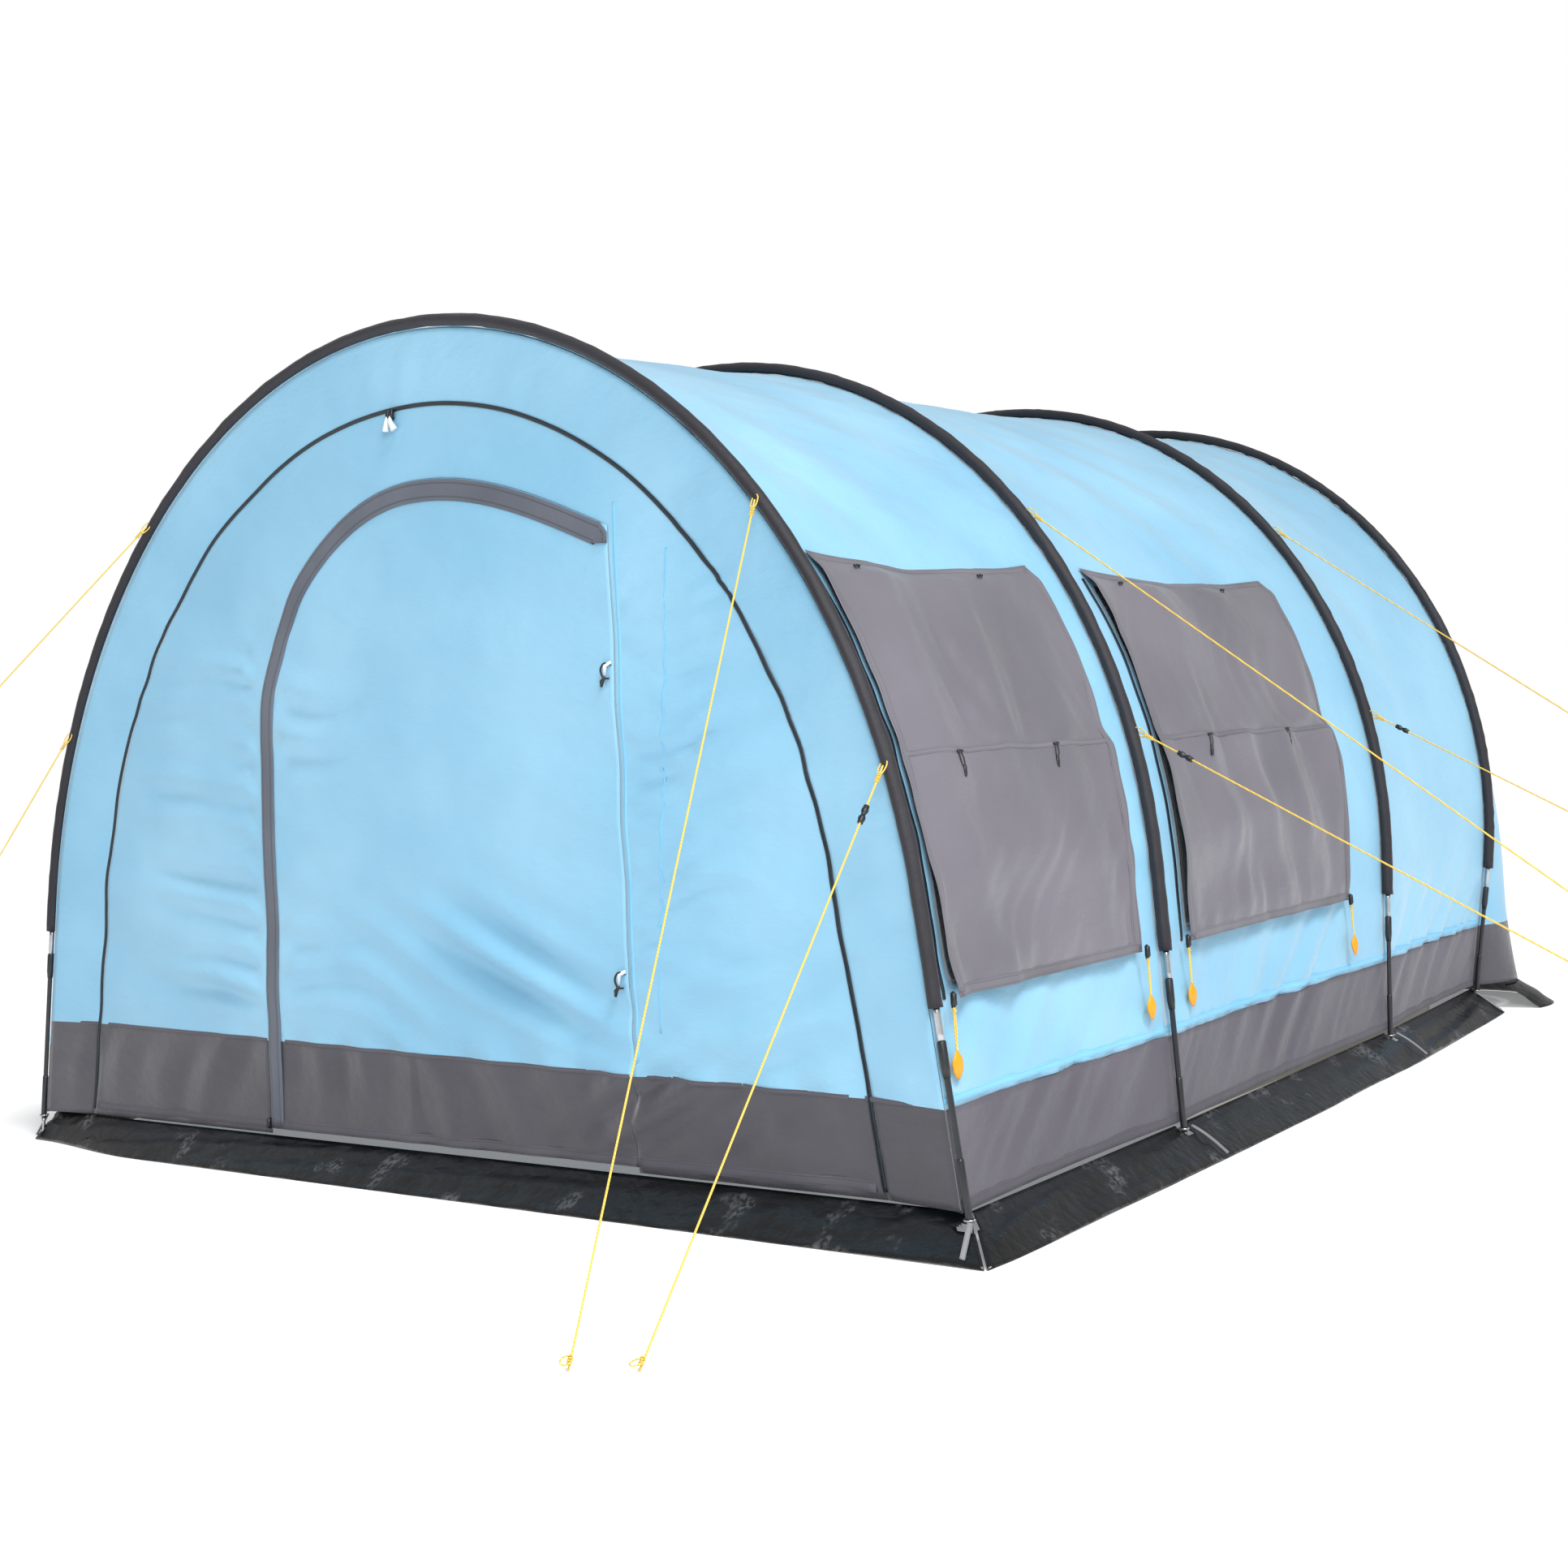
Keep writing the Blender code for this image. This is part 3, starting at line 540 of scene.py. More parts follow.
def addGuyLines():
    for line in guyLines["lines"]:
        name = line["name"]
        route = guyRoute(line)
        curve = bpy.data.curves.new(f"guy_cord_{name}", "CURVE")
        curve.dimensions, curve.bevel_depth, curve.bevel_resolution = "3D", guyLines["radius"], 3
        curve.use_fill_caps = True
        spline = curve.splines.new("POLY")
        spline.points.add(len(route) - 1)
        for point, at in zip(spline.points, route):
            point.co = (*at, 1.0)
        curve.materials.append(look["cord"])
        made = bpy.data.objects.new(f"guy_cord_{name}", curve)
        bpy.context.scene.collection.objects.link(made)
        finishPiece(made, tent["body"], [f"guy_line_{name}"])
        along = unit(route[-1] - route[0])
        thin = guyLines["radius"] * 0.75
        knotAt = route[-1] - along * knot["back"]
        if line["end"][2] is None:
            knotAt = knotAt + np.array([0, 0, knot["lift"]])
        flatAlong = [along[0], along[1], max(along[2], -0.1) * 0.1]
        farKnot = addTubes(f"guy_knot_{name}", [
            (coilPath(knotAt, along, knot["radius"], knot["length"], knot["turns"]), thin),
            (loopPath(route[-1] - along * knot["loopBack"], flatAlong, knot["loopLength"],
                      knot["loopWidth"]), thin),
        ], "cord", tent["body"], 8)
        nearEye = addTubes(f"guy_eye_{name}", [
            (coilPath(route[0] + along * eye["out"], along, eye["radius"], eye["length"],
                      eye["turns"]), thin),
            (loopPath(route[0] + along * eye["loopOut"], -along, eye["loopLength"], eye["loopWidth"]), thin),
        ], "cord", tent["body"], 8)
        if name in guyLines["runners"]:
            runner = f"guy_runner_{name}"
            addRunner(runner, route[0] + along * guyLines["runners"][name], along)


def addRunner(node, at, along):
    # moulded three-hole line runner: a flat waisted bar threaded by the cord
    shares = np.linspace(-1, 1, 13)
    path = at + np.outer(shares * runnerShape["halfLength"], along)
    radii = runnerShape["radius"] - runnerShape["waist"] * np.cos(shares * 2 * pi) * (1 - shares ** 2)
    return addTubes(f"line_{node}", [(path, radii)], "black", f"{node}_body", 12, [node])


# ---- arch lines

def archXZ(arch, s, inset=0.0, rise=None):
    # right half: s from 0 at the hem to 1 at the wall's top, and to 2 at the crown
    s = np.asarray(s, float)
    radius, leg = arch["radius"], arch["leg"]
    centre = (rise or tent["rise"]) - radius
    height = np.minimum(s, 1) * tent["wallTop"]
    start = asin((tent["wallTop"] - centre) / radius)
    wallAngle = np.arcsin(np.clip((height - centre) / radius, -1, 1))
    angle = np.where(s > 1, start + (s - 1) * (pi / 2 - start), wallAngle)
    onLeg = (s <= 1) & (height < centre + radius * sin(leg))
    legX = radius * cos(leg) + (centre + radius * sin(leg) - height) * tan(leg) - inset * cos(leg)
    x = np.where(onLeg, legX, (radius - inset) * np.cos(angle))
    z = np.where(onLeg, height - inset * sin(leg), centre + (radius - inset) * np.sin(angle))
    return x, z


def archLine(arch, u, inset=0.0, rise=None):
    # whole outline: u from 0 at the right foot, over 2 at the crown, to 4 at the left foot
    u = np.asarray(u, float)
    x, z = archXZ(arch, np.where(u > 2, 4 - u, u), inset, rise)
    return np.where(u > 2, -x, x), z


def onArch(arch, u, inset=0.0, forward=0.0):
    x, z = archLine(arch, u, inset)
    return place(x, arch["y"] + arch["lean"] * z + forward, z)


def outlineStations(start, spacing=0.016):
    # stations from start up one side, over the crown and down the other
    wall = np.linspace(start, 1, int((1 - start) * tent["wallTop"] / spacing) + 1)
    roof = np.linspace(1, 2, int(tent["roofArc"] / spacing) + 1)
    half = np.concatenate([wall, roof[1:]])
    return np.concatenate([half, (4 - half[:-1])[::-1]])


def outwardOf(grid):
    # outward direction of a grid whose rows climb the right wall first
    rise = np.gradient(grid[:, grid.shape[1] // 2], axis=0)
    return unit(np.stack([rise[:, 2], np.zeros(len(rise)), -rise[:, 0]], -1))[:, None, :]


# ---- poles, sleeves and feet

sleeve = {"radius": 0.0152, "pucker": 0.0009, "sides": 16, "spacing": 0.022, "flattened": 0.12,
          "thickness": 0.0012}
foot = {"collarTop": 0.318, "collarLength": 0.07, "collarRadius": 0.0092, "ferruleRadius": 0.0071,
        "ferruleLength": 0.07, "endTop": 0.10, "endRadius": 0.0078, "endBevel": 0.004, "pinTop": -0.02,
        "pinRadius": 0.0055, "ringAt": -0.012, "ringRadius": 0.0105, "ringWire": 0.0022}


def addSleeves():
    for number, arch in enumerate(arches, 1):
        start = tent["sleeveStart"] / tent["wallTop"]
        stations = outlineStations(start, sleeve["spacing"])
        if number == 1:
            stations = stations[stations < 4 - tent["leftSleeveStart"] / tent["wallTop"]]
        path = onArch(arch, stations)
        tangents = unit(np.gradient(path, axis=0))
        outward = unit(np.stack([tangents[:, 2], np.zeros(len(path)), -tangents[:, 0]], -1))
        ahead = np.cross(tangents, outward)
        run = runOf(path)
        rings = []
        for k in range(sleeve["sides"]):
            angle = 2 * pi * k / sleeve["sides"]
            pucker = ripple(run * 90, np.full(len(run), k * 0.7), 11 + number) * sleeve["pucker"]
            flat = 1.0 + sleeve["flattened"] * max(0.0, cos(2 * angle + pi))
            size = (sleeve["radius"] * flat + pucker)[:, None]
            rings.append(path + outward * cos(angle) * size + ahead * sin(angle) * size)
        grid = np.stack(rings, 1)
        faces = gridFaces(len(path), sleeve["sides"], loop=True)
        made = addMesh(f"arch_{number}_fabric_sleeve", grid.reshape(-1, 3), faces, "sleeve")
        skin = made.modifiers.new("thickness", "SOLIDIFY")
        skin.thickness, skin.offset = sleeve["thickness"], -1.0
        finishPiece(made, tent["body"], [f"pole_sleeve_{number}"])


def legPoints(arch, side, heights):
    # points down an arch's leg, which runs on straight below the hem
    points = []
    for height in heights:
        x, z = archXZ(arch, max(height, 0.0) / tent["wallTop"])
        if height < 0:
            x, z = x - height * tan(arch["leg"]), height
        points.append(place(side * x, arch["y"] + arch["lean"] * z, z))
    return points


def addFeet():
    for number, arch in enumerate(arches, 1):
        for side, name in ((1, "right"), (-1, "left")):
            sleeveEnd = tent["leftSleeveStart"] if number == 1 and side == -1 else tent["sleeveStart"]
            top = foot["collarTop"] + sleeveEnd - tent["sleeveStart"]
            low = top - foot["collarLength"]
            ferrule = legPoints(arch, side, np.linspace(top + foot["ferruleLength"], top - 0.005, 5))
            addTubes(f"pole_ferrule_{name}_{number}", [(ferrule, foot["ferruleRadius"])], "steel",
                     tent["body"], 12)
            collar = legPoints(arch, side, [top, top - 0.003, low + 0.02, low])
            collarRadii = [foot["ferruleRadius"] + 0.0008, foot["collarRadius"], foot["collarRadius"],
                           foot["ferruleRadius"]]
            addTubes(f"pole_collar_{name}_{number}", [(collar, collarRadii)], "black", tent["body"],
                     12)
            end = legPoints(arch, side, [foot["endTop"], foot["endTop"] - foot["endBevel"],
                                     foot["pinTop"] + foot["endBevel"], foot["pinTop"]])
            endRadii = [0.0066, foot["endRadius"], foot["endRadius"], 0.006]
            addTubes(f"pole_foot_{name}_{number}", [(end, endRadii)], "pole", tent["body"], 12,
                     [f"pole_end_{name}_{number}"])
            pin = legPoints(arch, side, [foot["pinTop"] + 0.002, -0.03, -0.05, -0.074, -0.0795])
            pinRadii = [foot["pinRadius"], foot["pinRadius"], foot["pinRadius"], 0.005, 0.003]
            ring = ringPath(legPoints(arch, side, [foot["ringAt"]])[0], foot["ringRadius"])
            addTubes(f"pole_pin_{name}_{number}", [(pin, pinRadii), (ring, foot["ringWire"])], "steel",
                     tent["body"], 10)


def ringPath(middle, radius, steps=18):
    angle = np.linspace(0, 2 * pi, steps)[:, None]
    return middle + radius * (np.cos(angle) * np.array([1.0, 0, 0]) + np.sin(angle) * np.array([0, 1.0, 0]))


# ---- fly

fly = {"sag": 0.026, "roofFold": 0.0075, "wallFold": 0.0080, "fineFold": 0.0012, "pucker": 0.0026,
       "skewFold": 1.15, "spacing": 0.017, "bandSpacing": 0.014}
# widths of the sewn seams and hems, and how far a hem's folded edge stands out
seams = {"band": 0.016, "frontBand": 0.010, "hem": 0.022, "hemLift": 0.0009, "door": 0.007, "middle": 0.012,
         "zip": 0.0105, "windowZip": 0.010}
bays = [
    {"name": "front", "window": (0.06, 0.88)},
    {"name": "middle", "window": (0.09, 0.80)},
    {"name": "rear", "window": None},
]
windows = {"low": 0.42, "high": 1.27, "overlap": 0.03, "coverLow": 0.39, "coverHigh": 1.31}


def bayGrid(bay, u, v, inset):
    first, second = onArch(arches[bay], u, inset), onArch(arches[bay + 1], u, inset)
    return first[:, None, :] + (second - first)[:, None, :] * np.asarray(v)[None, :, None]


def bayRelief(bay, grid, u, v):
    # how far the fly stands out from the straight line between its arches
    v = np.asarray(v, float)[None, :]
    run = runOf(grid[:, 0])[:, None] + u[0] * tent["wallTop"]
    y = grid[:, :, 1]
    height = grid[:, :, 2] - tent["hemHeight"]
    span = 4 * v * (1 - v)
    roof = ease(height, 0.9, 1.7)
    relief = -fly["sag"] * span * (0.55 + 0.45 * roof)
    slack = folds(run * 0.55 + y * 0.8, run - y, 0.30, 1.5, 21 + bay)
    relief = relief + fly["roofFold"] * slack * span * (0.4 + roof)
    relief = relief + fly["fineFold"] * folds(run + 0.3 * y, y, 0.085, 0.4, 31 + bay) * roof * span
    nearArch = np.exp(-v * 9) + np.exp(-(1 - v) * 9)
    relief = relief + fly["pucker"] * ripple(run * 42, v * 5, 41 + bay) * nearArch * np.minimum(1, span * 9)
    return relief + wallFolds(y, height) * np.minimum(1, span * 7)


def wallFolds(y, height):
    # slanting folds low on the side walls
    lean = y - fly["skewFold"] * height
    wave = folds(lean, height, 0.19, 0.8, 61, 1.8) + 0.35 * folds(lean, height, 0.08, 0.5, 62, 1.6)
    return fly["wallFold"] * wave * (1 - ease(height, 0.22, 0.55)) * ease(height, 0.0, 0.05)


def bayShares(bay):
    length = arches[bay + 1]["y"] - arches[bay]["y"]
    if not bays[bay]["window"]:
        return np.linspace(0, 1, int(length / fly["spacing"])), None, None
    low = bays[bay]["window"][0] + windows["overlap"] / length
    high = bays[bay]["window"][1] - windows["overlap"] / length
    counts = [max(3, int(part * length / fly["spacing"])) for part in (low, high - low, 1 - high)]
    parts = [np.linspace(0, low, counts[0]), np.linspace(low, high, counts[1])[1:],
             np.linspace(high, 1, counts[2])[1:]]
    return np.concatenate(parts), low, high


def addFly():
    start = tent["bandTop"] / tent["wallTop"]
    openLow, openHigh = windows["low"] / tent["wallTop"], windows["high"] / tent["wallTop"]
    upper = outlineStations(openLow)
    below = np.linspace(start, openLow, 15)[:-1]
    u = np.concatenate([below, upper, (4 - below)[::-1]])
    for bay, facts in enumerate(bays):
        v, low, high = bayShares(bay)
        grid = bayGrid(bay, u, v, tent["wallInset"])
        skip = None
        if facts["window"]:
            skip = np.zeros((len(u) - 1, len(v) - 1), bool)
            middleU, middleV = (u[:-1] + u[1:]) / 2, (v[:-1] + v[1:]) / 2
            height = np.where(middleU > 2, 4 - middleU, middleU)
            inside = (height > openLow) & (height < openHigh)
            skip[np.ix_(inside, (middleV > low) & (middleV < high))] = True
        shaped = grid + outwardOf(grid) * bayRelief(bay, grid, u, v)[..., None]
        made = addCloth(f"fly_{facts['name']}_cloth", shaped, "fly", skip)
        finishPiece(made, tent["body"], [f"fly_bay_{facts['name']}"])
        for side, name in ((1, "right"), (-1, "left")):
            row = shaped[1] if side == 1 else shaped[-2]
            outward = outwardOf(grid)[1 if side == 1 else -2, 0]
            addStrip(f"band_seam_{name}_{facts['name']}", row, np.broadcast_to(outward, row.shape),
                     seams["band"], 0.0007, "flySeam", tent["body"])


def addBands():
    heights = np.linspace(0, tent["bandTop"], 14)
    for side, name in ((1, "right"), (-1, "left")):
        parts = []
        for bay in range(3):
            count = int((arches[bay + 1]["y"] - arches[bay]["y"]) / fly["bandSpacing"])
            v = np.linspace(0, 1, count)[(1 if bay else 0):]
            u = heights / tent["wallTop"]
            grid = bayGrid(bay, u, v, tent["wallInset"])
            span = np.minimum(1, 4 * v * (1 - v) * 7)[None, :]
            relief = wallFolds(grid[:, :, 1], grid[:, :, 2] - tent["hemHeight"]) * span
            relief = relief - fly["sag"] * 0.55 * 4 * (v * (1 - v))[None, :]
            bend = grid + relief[..., None] * np.array([1.0, 0, 0])
            parts.append(np.stack([grid, bend]))
        smooth, shaped = np.concatenate(parts, 2)
        smooth, shaped = smooth * [side, 1, 1], shaped * [side, 1, 1]
        made = addCloth(f"lower_band_{name}_cloth", shaped, "band")
        finishPiece(made, tent["body"], [f"lower_band_{name}"])
        out = np.broadcast_to([float(side), 0, 0], shaped[0].shape)
        hem = shaped[1] + np.array([0, 0, -0.003])
        addStrip(f"band_hem_{name}", hem, out, seams["hem"], seams["hemLift"], "bandSeam", tent["body"])


# ---- windows

def addWindows():
    for bay in (0, 1):
        for side, name in ((1, "right"), (-1, "left")):
            addWindow(bay, side, name)


def windowPoints(bay, side, heights, shares, lift):
    # points over the sagging wall at these heights and shares of the bay
    u = np.asarray(heights) / tent["wallTop"]
    u = np.where(u > 1, 1 + (u - 1) * 1.03, u)
    grid = bayGrid(bay, u, shares, tent["wallInset"])
    outward = outwardOf(grid)
    shaped = grid + outward * (bayRelief(bay, grid, u, shares) + lift)[..., None]
    mirror = np.array([side, 1, 1])
    return grid * mirror, shaped * mirror, np.broadcast_to(outward, grid.shape) * mirror


cover = {"lift": 0.0060, "least": 0.004, "fold": 0.0150, "billow": 0.012, "topDip": 0.014, "seam": 0.868,
         "spacing": 0.012, "seed": 70, "toggleDrop": (0, 0, 0.01, 0.005)}
# where the elastic toggles sit: (share of the height, share of the width); the lower two hang on the seam
toggleSpots = [(0.965, 0.16), (0.965, 0.72), (None, 0.22), (None, 0.70)]


def addWindow(bay, side, name):
    number = bay + 1
    _, low, high = bayShares(bay)
    label = f"{name}_{number}"
    heights = np.linspace(windows["low"], windows["high"], 26)
    smooth, pane, _ = windowPoints(bay, side, heights, np.linspace(low, high, 24), np.zeros((26, 24)))
    film = addCloth(f"window_film_{label}", pane, "film", thickness=0.0006)
    finishPiece(film, tent["body"], [f"window_pane_{label}"])

    low, high = bays[bay]["window"]
    width = (high - low) * (arches[number]["y"] - arches[bay]["y"])
    tall = windows["coverHigh"] - windows["coverLow"]
    rows, columns = 76, int(width / cover["spacing"])
    shares = np.linspace(low, high, columns)
    heights = np.linspace(windows["coverLow"], windows["coverHigh"], rows)
    a = np.linspace(0, 1, rows)[:, None]
    b = np.linspace(0, 1, columns)[None, :]
    seed = cover["seed"] + 10 * bay
    upper = ease(a, 0.50, 0.56)
    hang = folds(b * 0.8 + 0.25 * a, a * 0.9, 0.21, 1.4, seed) * (1 - upper)
    drape = folds((b - 0.15 * a) * 0.8, a, 0.27, 1.2, seed + 1) * upper
    swag = np.sin(2 * pi * (a * 4.2 + 1.4 * (b - 0.5) ** 2)) * np.exp(-((b - 0.35) ** 2) / 0.1) * (1 - upper)
    fine = folds(b * 0.8 + 0.12 * ripple(a * 6, b * 3, seed + 2), a, 0.075, 0.5, seed + 3) * 0.18
    still = ease(1 - a, 0.0, 0.06)
    lift = cover["lift"] + cover["fold"] * (1.2 + hang + drape + 0.5 * swag + fine) * still
    lift = np.maximum(lift, cover["least"]) + cover["billow"] * np.sin(pi * a) * np.sin(pi * b) * 0.7
    smooth, shaped, _ = windowPoints(bay, side, heights, shares, lift)
    shaped[..., 2] -= cover["topDip"] * (4 * b * (1 - b)) * ease(a, 0.85, 1.0)
    made = addCloth(f"window_flap_{label}", shaped, "cover")
    body = f"window_cover_{label}_body"
    finishPiece(made, body, [f"window_cover_{label}"])

    across, up = np.linspace(0.012, 0.988, 50), np.linspace(0.01, 0.99, 60)
    middle = (cover["seam"] - windows["coverLow"]) / tall
    edgeB, edgeA = seams["hem"] / 2 / width, seams["hem"] / 2 / tall
    lines = {
        "bottom_hem": (np.full(50, edgeA), across), "top_hem": (np.full(50, 1 - edgeA), across),
        "middle_seam": (np.full(50, middle), across),
        "front_hem": (up, np.full(60, edgeB)), "rear_hem": (up, np.full(60, 1 - edgeB)),
    }
    for part, (rowShare, columnShare) in lines.items():
        path = onGrid(shaped, rowShare, columnShare)
        normals = gridNormals(shaped, rowShare, columnShare)
        if (normals[:, 0] * side).mean() < 0:
            normals = -normals
        size = seams["middle"] if part == "middle_seam" else seams["hem"]
        addStrip(f"cover_{label}_{part}", path, normals, size, seams["hemLift"], "coverSeam", body)
    addZipEdges(bay, side, label, shares, heights)
    for spot, (rowShare, columnShare) in enumerate(toggleSpots):
        rowShare = rowShare or middle - cover["toggleDrop"][spot]
        at = onGrid(shaped, np.array([rowShare]), np.array([columnShare]))[0]
        addToggle(f"cover_toggle_{label}_{spot + 1}", at, side, body, bay * 9 + spot)
    for edge in ("front", "rear"):
        addPull(side, label, edge)


def addZipEdges(bay, side, label, shares, heights):
    # the black zips that show past the cover's front and rear edges
    length = arches[bay + 1]["y"] - arches[bay]["y"]
    for edge, share in (("front", shares[0] - 0.006 / length), ("rear", shares[-1] + 0.002 / length)):
        tall = heights[:-2]
        columns = np.array([share, share + 1e-3])
        _, line, outward = windowPoints(bay, side, tall, columns, np.full((len(tall), 2), 0.0006))
        wobble = ripple(tall * 40, tall * 7, 90 + bay)[:, None] * np.array([0, 0.0018, 0])
        addStrip(f"window_zip_{label}_{edge}", line[:, 0] + wobble, outward[:, 0], seams["windowZip"], 0.0016,
                 "zip", tent["body"])


def addToggle(name, at, side, body, seed):
    # elastic loop with a moulded toggle hanging from it
    out = np.array([float(side), 0, 0.1])
    draw = np.random.default_rng(300 + seed)
    tilt = np.array([0, draw.uniform(-0.012, 0.012), 0])
    start = at + out * 0.003
    loop = smoothPath([
        start + [0, -0.004, 0.004],
        start + out * 0.004 + [0, -0.005, -0.018] + tilt / 2,
        start + out * 0.005 + [0, 0, -0.034] + tilt,
        start + out * 0.004 + [0, 0.006, -0.016] + tilt / 2,
        start + [0, 0.005, 0.004]], 6)
    low = start + out * 0.005 + [0, 0, -0.036] + tilt
    toggle = np.array([low + [0, 0, 0.012], low + [0, 0, 0.010], low + [0, 0, -0.010], low + [0, 0, -0.013]])
    tab = np.array([start + [0, -0.009, 0.005], start + [0, 0, 0.006], start + [0, 0.009, 0.005]])
    addTubes(name, [(loop, 0.0013), (toggle, [0.002, 0.0046, 0.0052, 0.003]), (tab, 0.003)], "black", body,
             8)


pull = {"gripLength": 0.054, "gripWidth": 0.0175, "gripThickness": 0.0056, "stand": 0.0035, "sides": 14}
gripOutline = [0.25, 0.42, 0.62, 0.80, 0.92, 0.99, 1.0, 0.97, 0.9, 0.78, 0.62, 0.42, 0.15]
headRadii = [0.004, 0.0062, 0.0068, 0.003]


def addPull(side, label, edge):
    # slider on the window zip with a cord loop and an orange grip
    node = f"window_slider_{label}_{edge}"
    low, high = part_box(node)
    y = (low.y + high.y) / 2
    top, bottom = high.z, low.z
    x = (high.x if side > 0 else low.x)
    lift = side * pull["stand"]
    head = np.array([[x, y, top], [x + lift, y, top - 0.004], [x + lift, y, top - 0.022], [x, y, top - 0.03]])
    cordTop, cordLow = top - 0.028, bottom + pull["gripLength"] - 0.004
    halfway = (cordTop + cordLow) / 2
    first = smoothPath([[x + lift, y - 0.002, cordTop], [x + lift * 1.3, y - 0.004, halfway],
                        [x + lift, y - 0.001, cordLow]])
    second = smoothPath([[x + lift, y + 0.002, cordTop], [x + lift * 0.8, y + 0.0035, halfway],
                         [x + lift, y + 0.001, cordLow]])
    addTubes(f"zip_slider_body_{label}_{edge}", [(head, headRadii)], "black", f"{node}_body", 10,
             [node])
    addTubes(f"zip_slider_cord_{label}_{edge}", [
        (first, 0.0015), (second, 0.0015),
        (coilPath(np.array([x + lift, y, cordTop - 0.006]), [0, 0, -1.0], 0.003, 0.008, 2.5), 0.0014)],
        "cord", f"{node}_body", 8)
    shares = np.linspace(0, 1, len(gripOutline))
    points, sides = [], pull["sides"]
    for share, size in zip(shares, gripOutline):
        z = bottom + pull["gripLength"] * (1 - share)
        for k in range(sides):
            angle = 2 * pi * k / sides
            thick = pull["gripThickness"] * (1 + 0.5 * abs(cos(angle)) ** 6)
            sideways = pull["gripWidth"] * size * sin(angle)
            points.append([x + lift + thick * size * cos(angle), y + sideways, z])
    faces = gridFaces(len(shares), sides, loop=True)
    faces += [tuple(range(sides))[::-1], tuple(range(len(points) - sides, len(points)))]
    finishPiece(addMesh(f"zip_slider_grip_{label}_{edge}", points, faces, "grip"), f"{node}_body")


# ---- front wall

front = {"depth": 0.03, "panelBody": "front_panel_body", "doorBody": "door_body", "flapWidth": 0.056,
         "panelFlat": (2.95, 1.8), "doorFlat": (1.34, 1.61)}
zipArch = {"y": 0.03, "radius": 1.36, "leg": 0.155, "lean": 0.0}
zipRise = 1.80
door = {"hingeX": 0.75, "edgeX": -0.59, "foot": 0.012, "shoulder": 0.98, "crown": 1.61, "hingeTop": 1.42,
        "crownX": 0.06, "hingeShare": 0.30, "crownShare": 0.42, "shoulderShare": 0.70}
liningInset = 0.0198


# depths in metres of the folds in the front: those pulled level from the door's free edge to its left and
# right, the fan above its lower hinge corner, the small ones beside the hinge seam, and the rest
frontFold = {"leftOfEdge": 0.0170, "rightOfEdge": 0.0100, "fan": 0.0250, "hingeSide": 0.0085,
             "rightLow": 0.0085, "bandCorner": 0.0150, "band": 0.0110, "slack": 0.0040, "sag": 0.006}


def frontRelief(x, z):
    tall = between(z, 0.27, 0.40, 1.05, 1.45)
    leftOfEdge = tall * between(-x, 0.60, 0.66, 0.85, 1.25)
    relief = frontFold["leftOfEdge"] * folds(z + 0.12 * x, x, 0.105, 0.7, 5, 0.9) * leftOfEdge
    rightOfEdge = tall * between(x, -0.55, -0.45, -0.45, 0.05)
    relief = relief + frontFold["rightOfEdge"] * folds(z - 0.1 * x, x, 0.12, 0.6, 6) * rightOfEdge
    fan = np.exp(-((x - 0.25) / 0.42) ** 2 - ((z - 0.42) / 0.16) ** 2)
    relief = relief + frontFold["fan"] * folds(x * 0.42 + z, x, 0.125, 1.0, 7, 0.8) * fan
    besideHinge = between(x, 0.76, 0.82, 0.98, 1.2) * between(z, 0.3, 0.5, 1.1, 1.5)
    relief = relief + frontFold["hingeSide"] * folds(z - 0.15 * x, x, 0.07, 0.3, 8, 1.0) * besideHinge
    rightLow = between(x, 0.9, 1.0, 1.25, 1.4) * (1 - ease(z, 0.8, 1.3))
    relief = relief + frontFold["rightLow"] * folds(z - 0.3 * x, x, 0.12, 0.7, 9) * rightLow
    bandCorner = np.exp(-((x - 0.85) / 0.38) ** 2 - ((z - 0.16) / 0.15) ** 2) * ease(z, 0.0, 0.05)
    relief = relief + frontFold["bandCorner"] * folds(z - 0.45 * x, x, 0.105, 0.9, 13, 0.8) * bandCorner
    band = ease(z, 0.0, 0.04) * (1 - ease(z, 0.18, 0.30))
    relief = relief + frontFold["band"] * folds(x + 0.5 * z * np.sign(x), z, 0.21, 0.5, 10) * band
    relief = relief + frontFold["slack"] * folds(x * 0.3 + z, x, 0.35, 1.8, 12)
    return relief - frontFold["sag"] * np.exp(-((x - 0.1) / 0.8) ** 2 - ((z - 0.9) / 0.6) ** 2)


def doorOutline(shares, margin=0.0):
    # from the foot of the hinge side, over the top, to the foot of the free edge; hingeShare, crownShare and
    # shoulderShare are how far along the line its corners come
    x, z = np.zeros(len(shares)), np.zeros(len(shares))
    hinge, crown, shoulder = door["hingeShare"], door["crownShare"], door["shoulderShare"]
    for i, share in enumerate(shares):
        if share <= hinge:
            x[i], z[i] = door["hingeX"] + margin, door["hingeTop"] * share / hinge
        elif share <= crown:
            turn = (share - hinge) / (crown - hinge)
            x[i] = door["hingeX"] + (door["crownX"] - door["hingeX"]) * turn + margin * (1 - turn)
            z[i] = door["hingeTop"] + (door["crown"] - door["hingeTop"]) * sin(turn * pi / 2) + margin * turn
        elif share <= shoulder:
            turn = (share - crown) / (shoulder - crown) * pi / 2
            x[i] = door["crownX"] - (door["crownX"] - door["edgeX"] + margin) * sin(turn)
            z[i] = door["shoulder"] + (door["crown"] - door["shoulder"] + margin) * cos(turn)
        else:
            x[i], z[i] = door["edgeX"] - margin, door["shoulder"] * (1 - (share - shoulder) / (1 - shoulder))
    return x, z


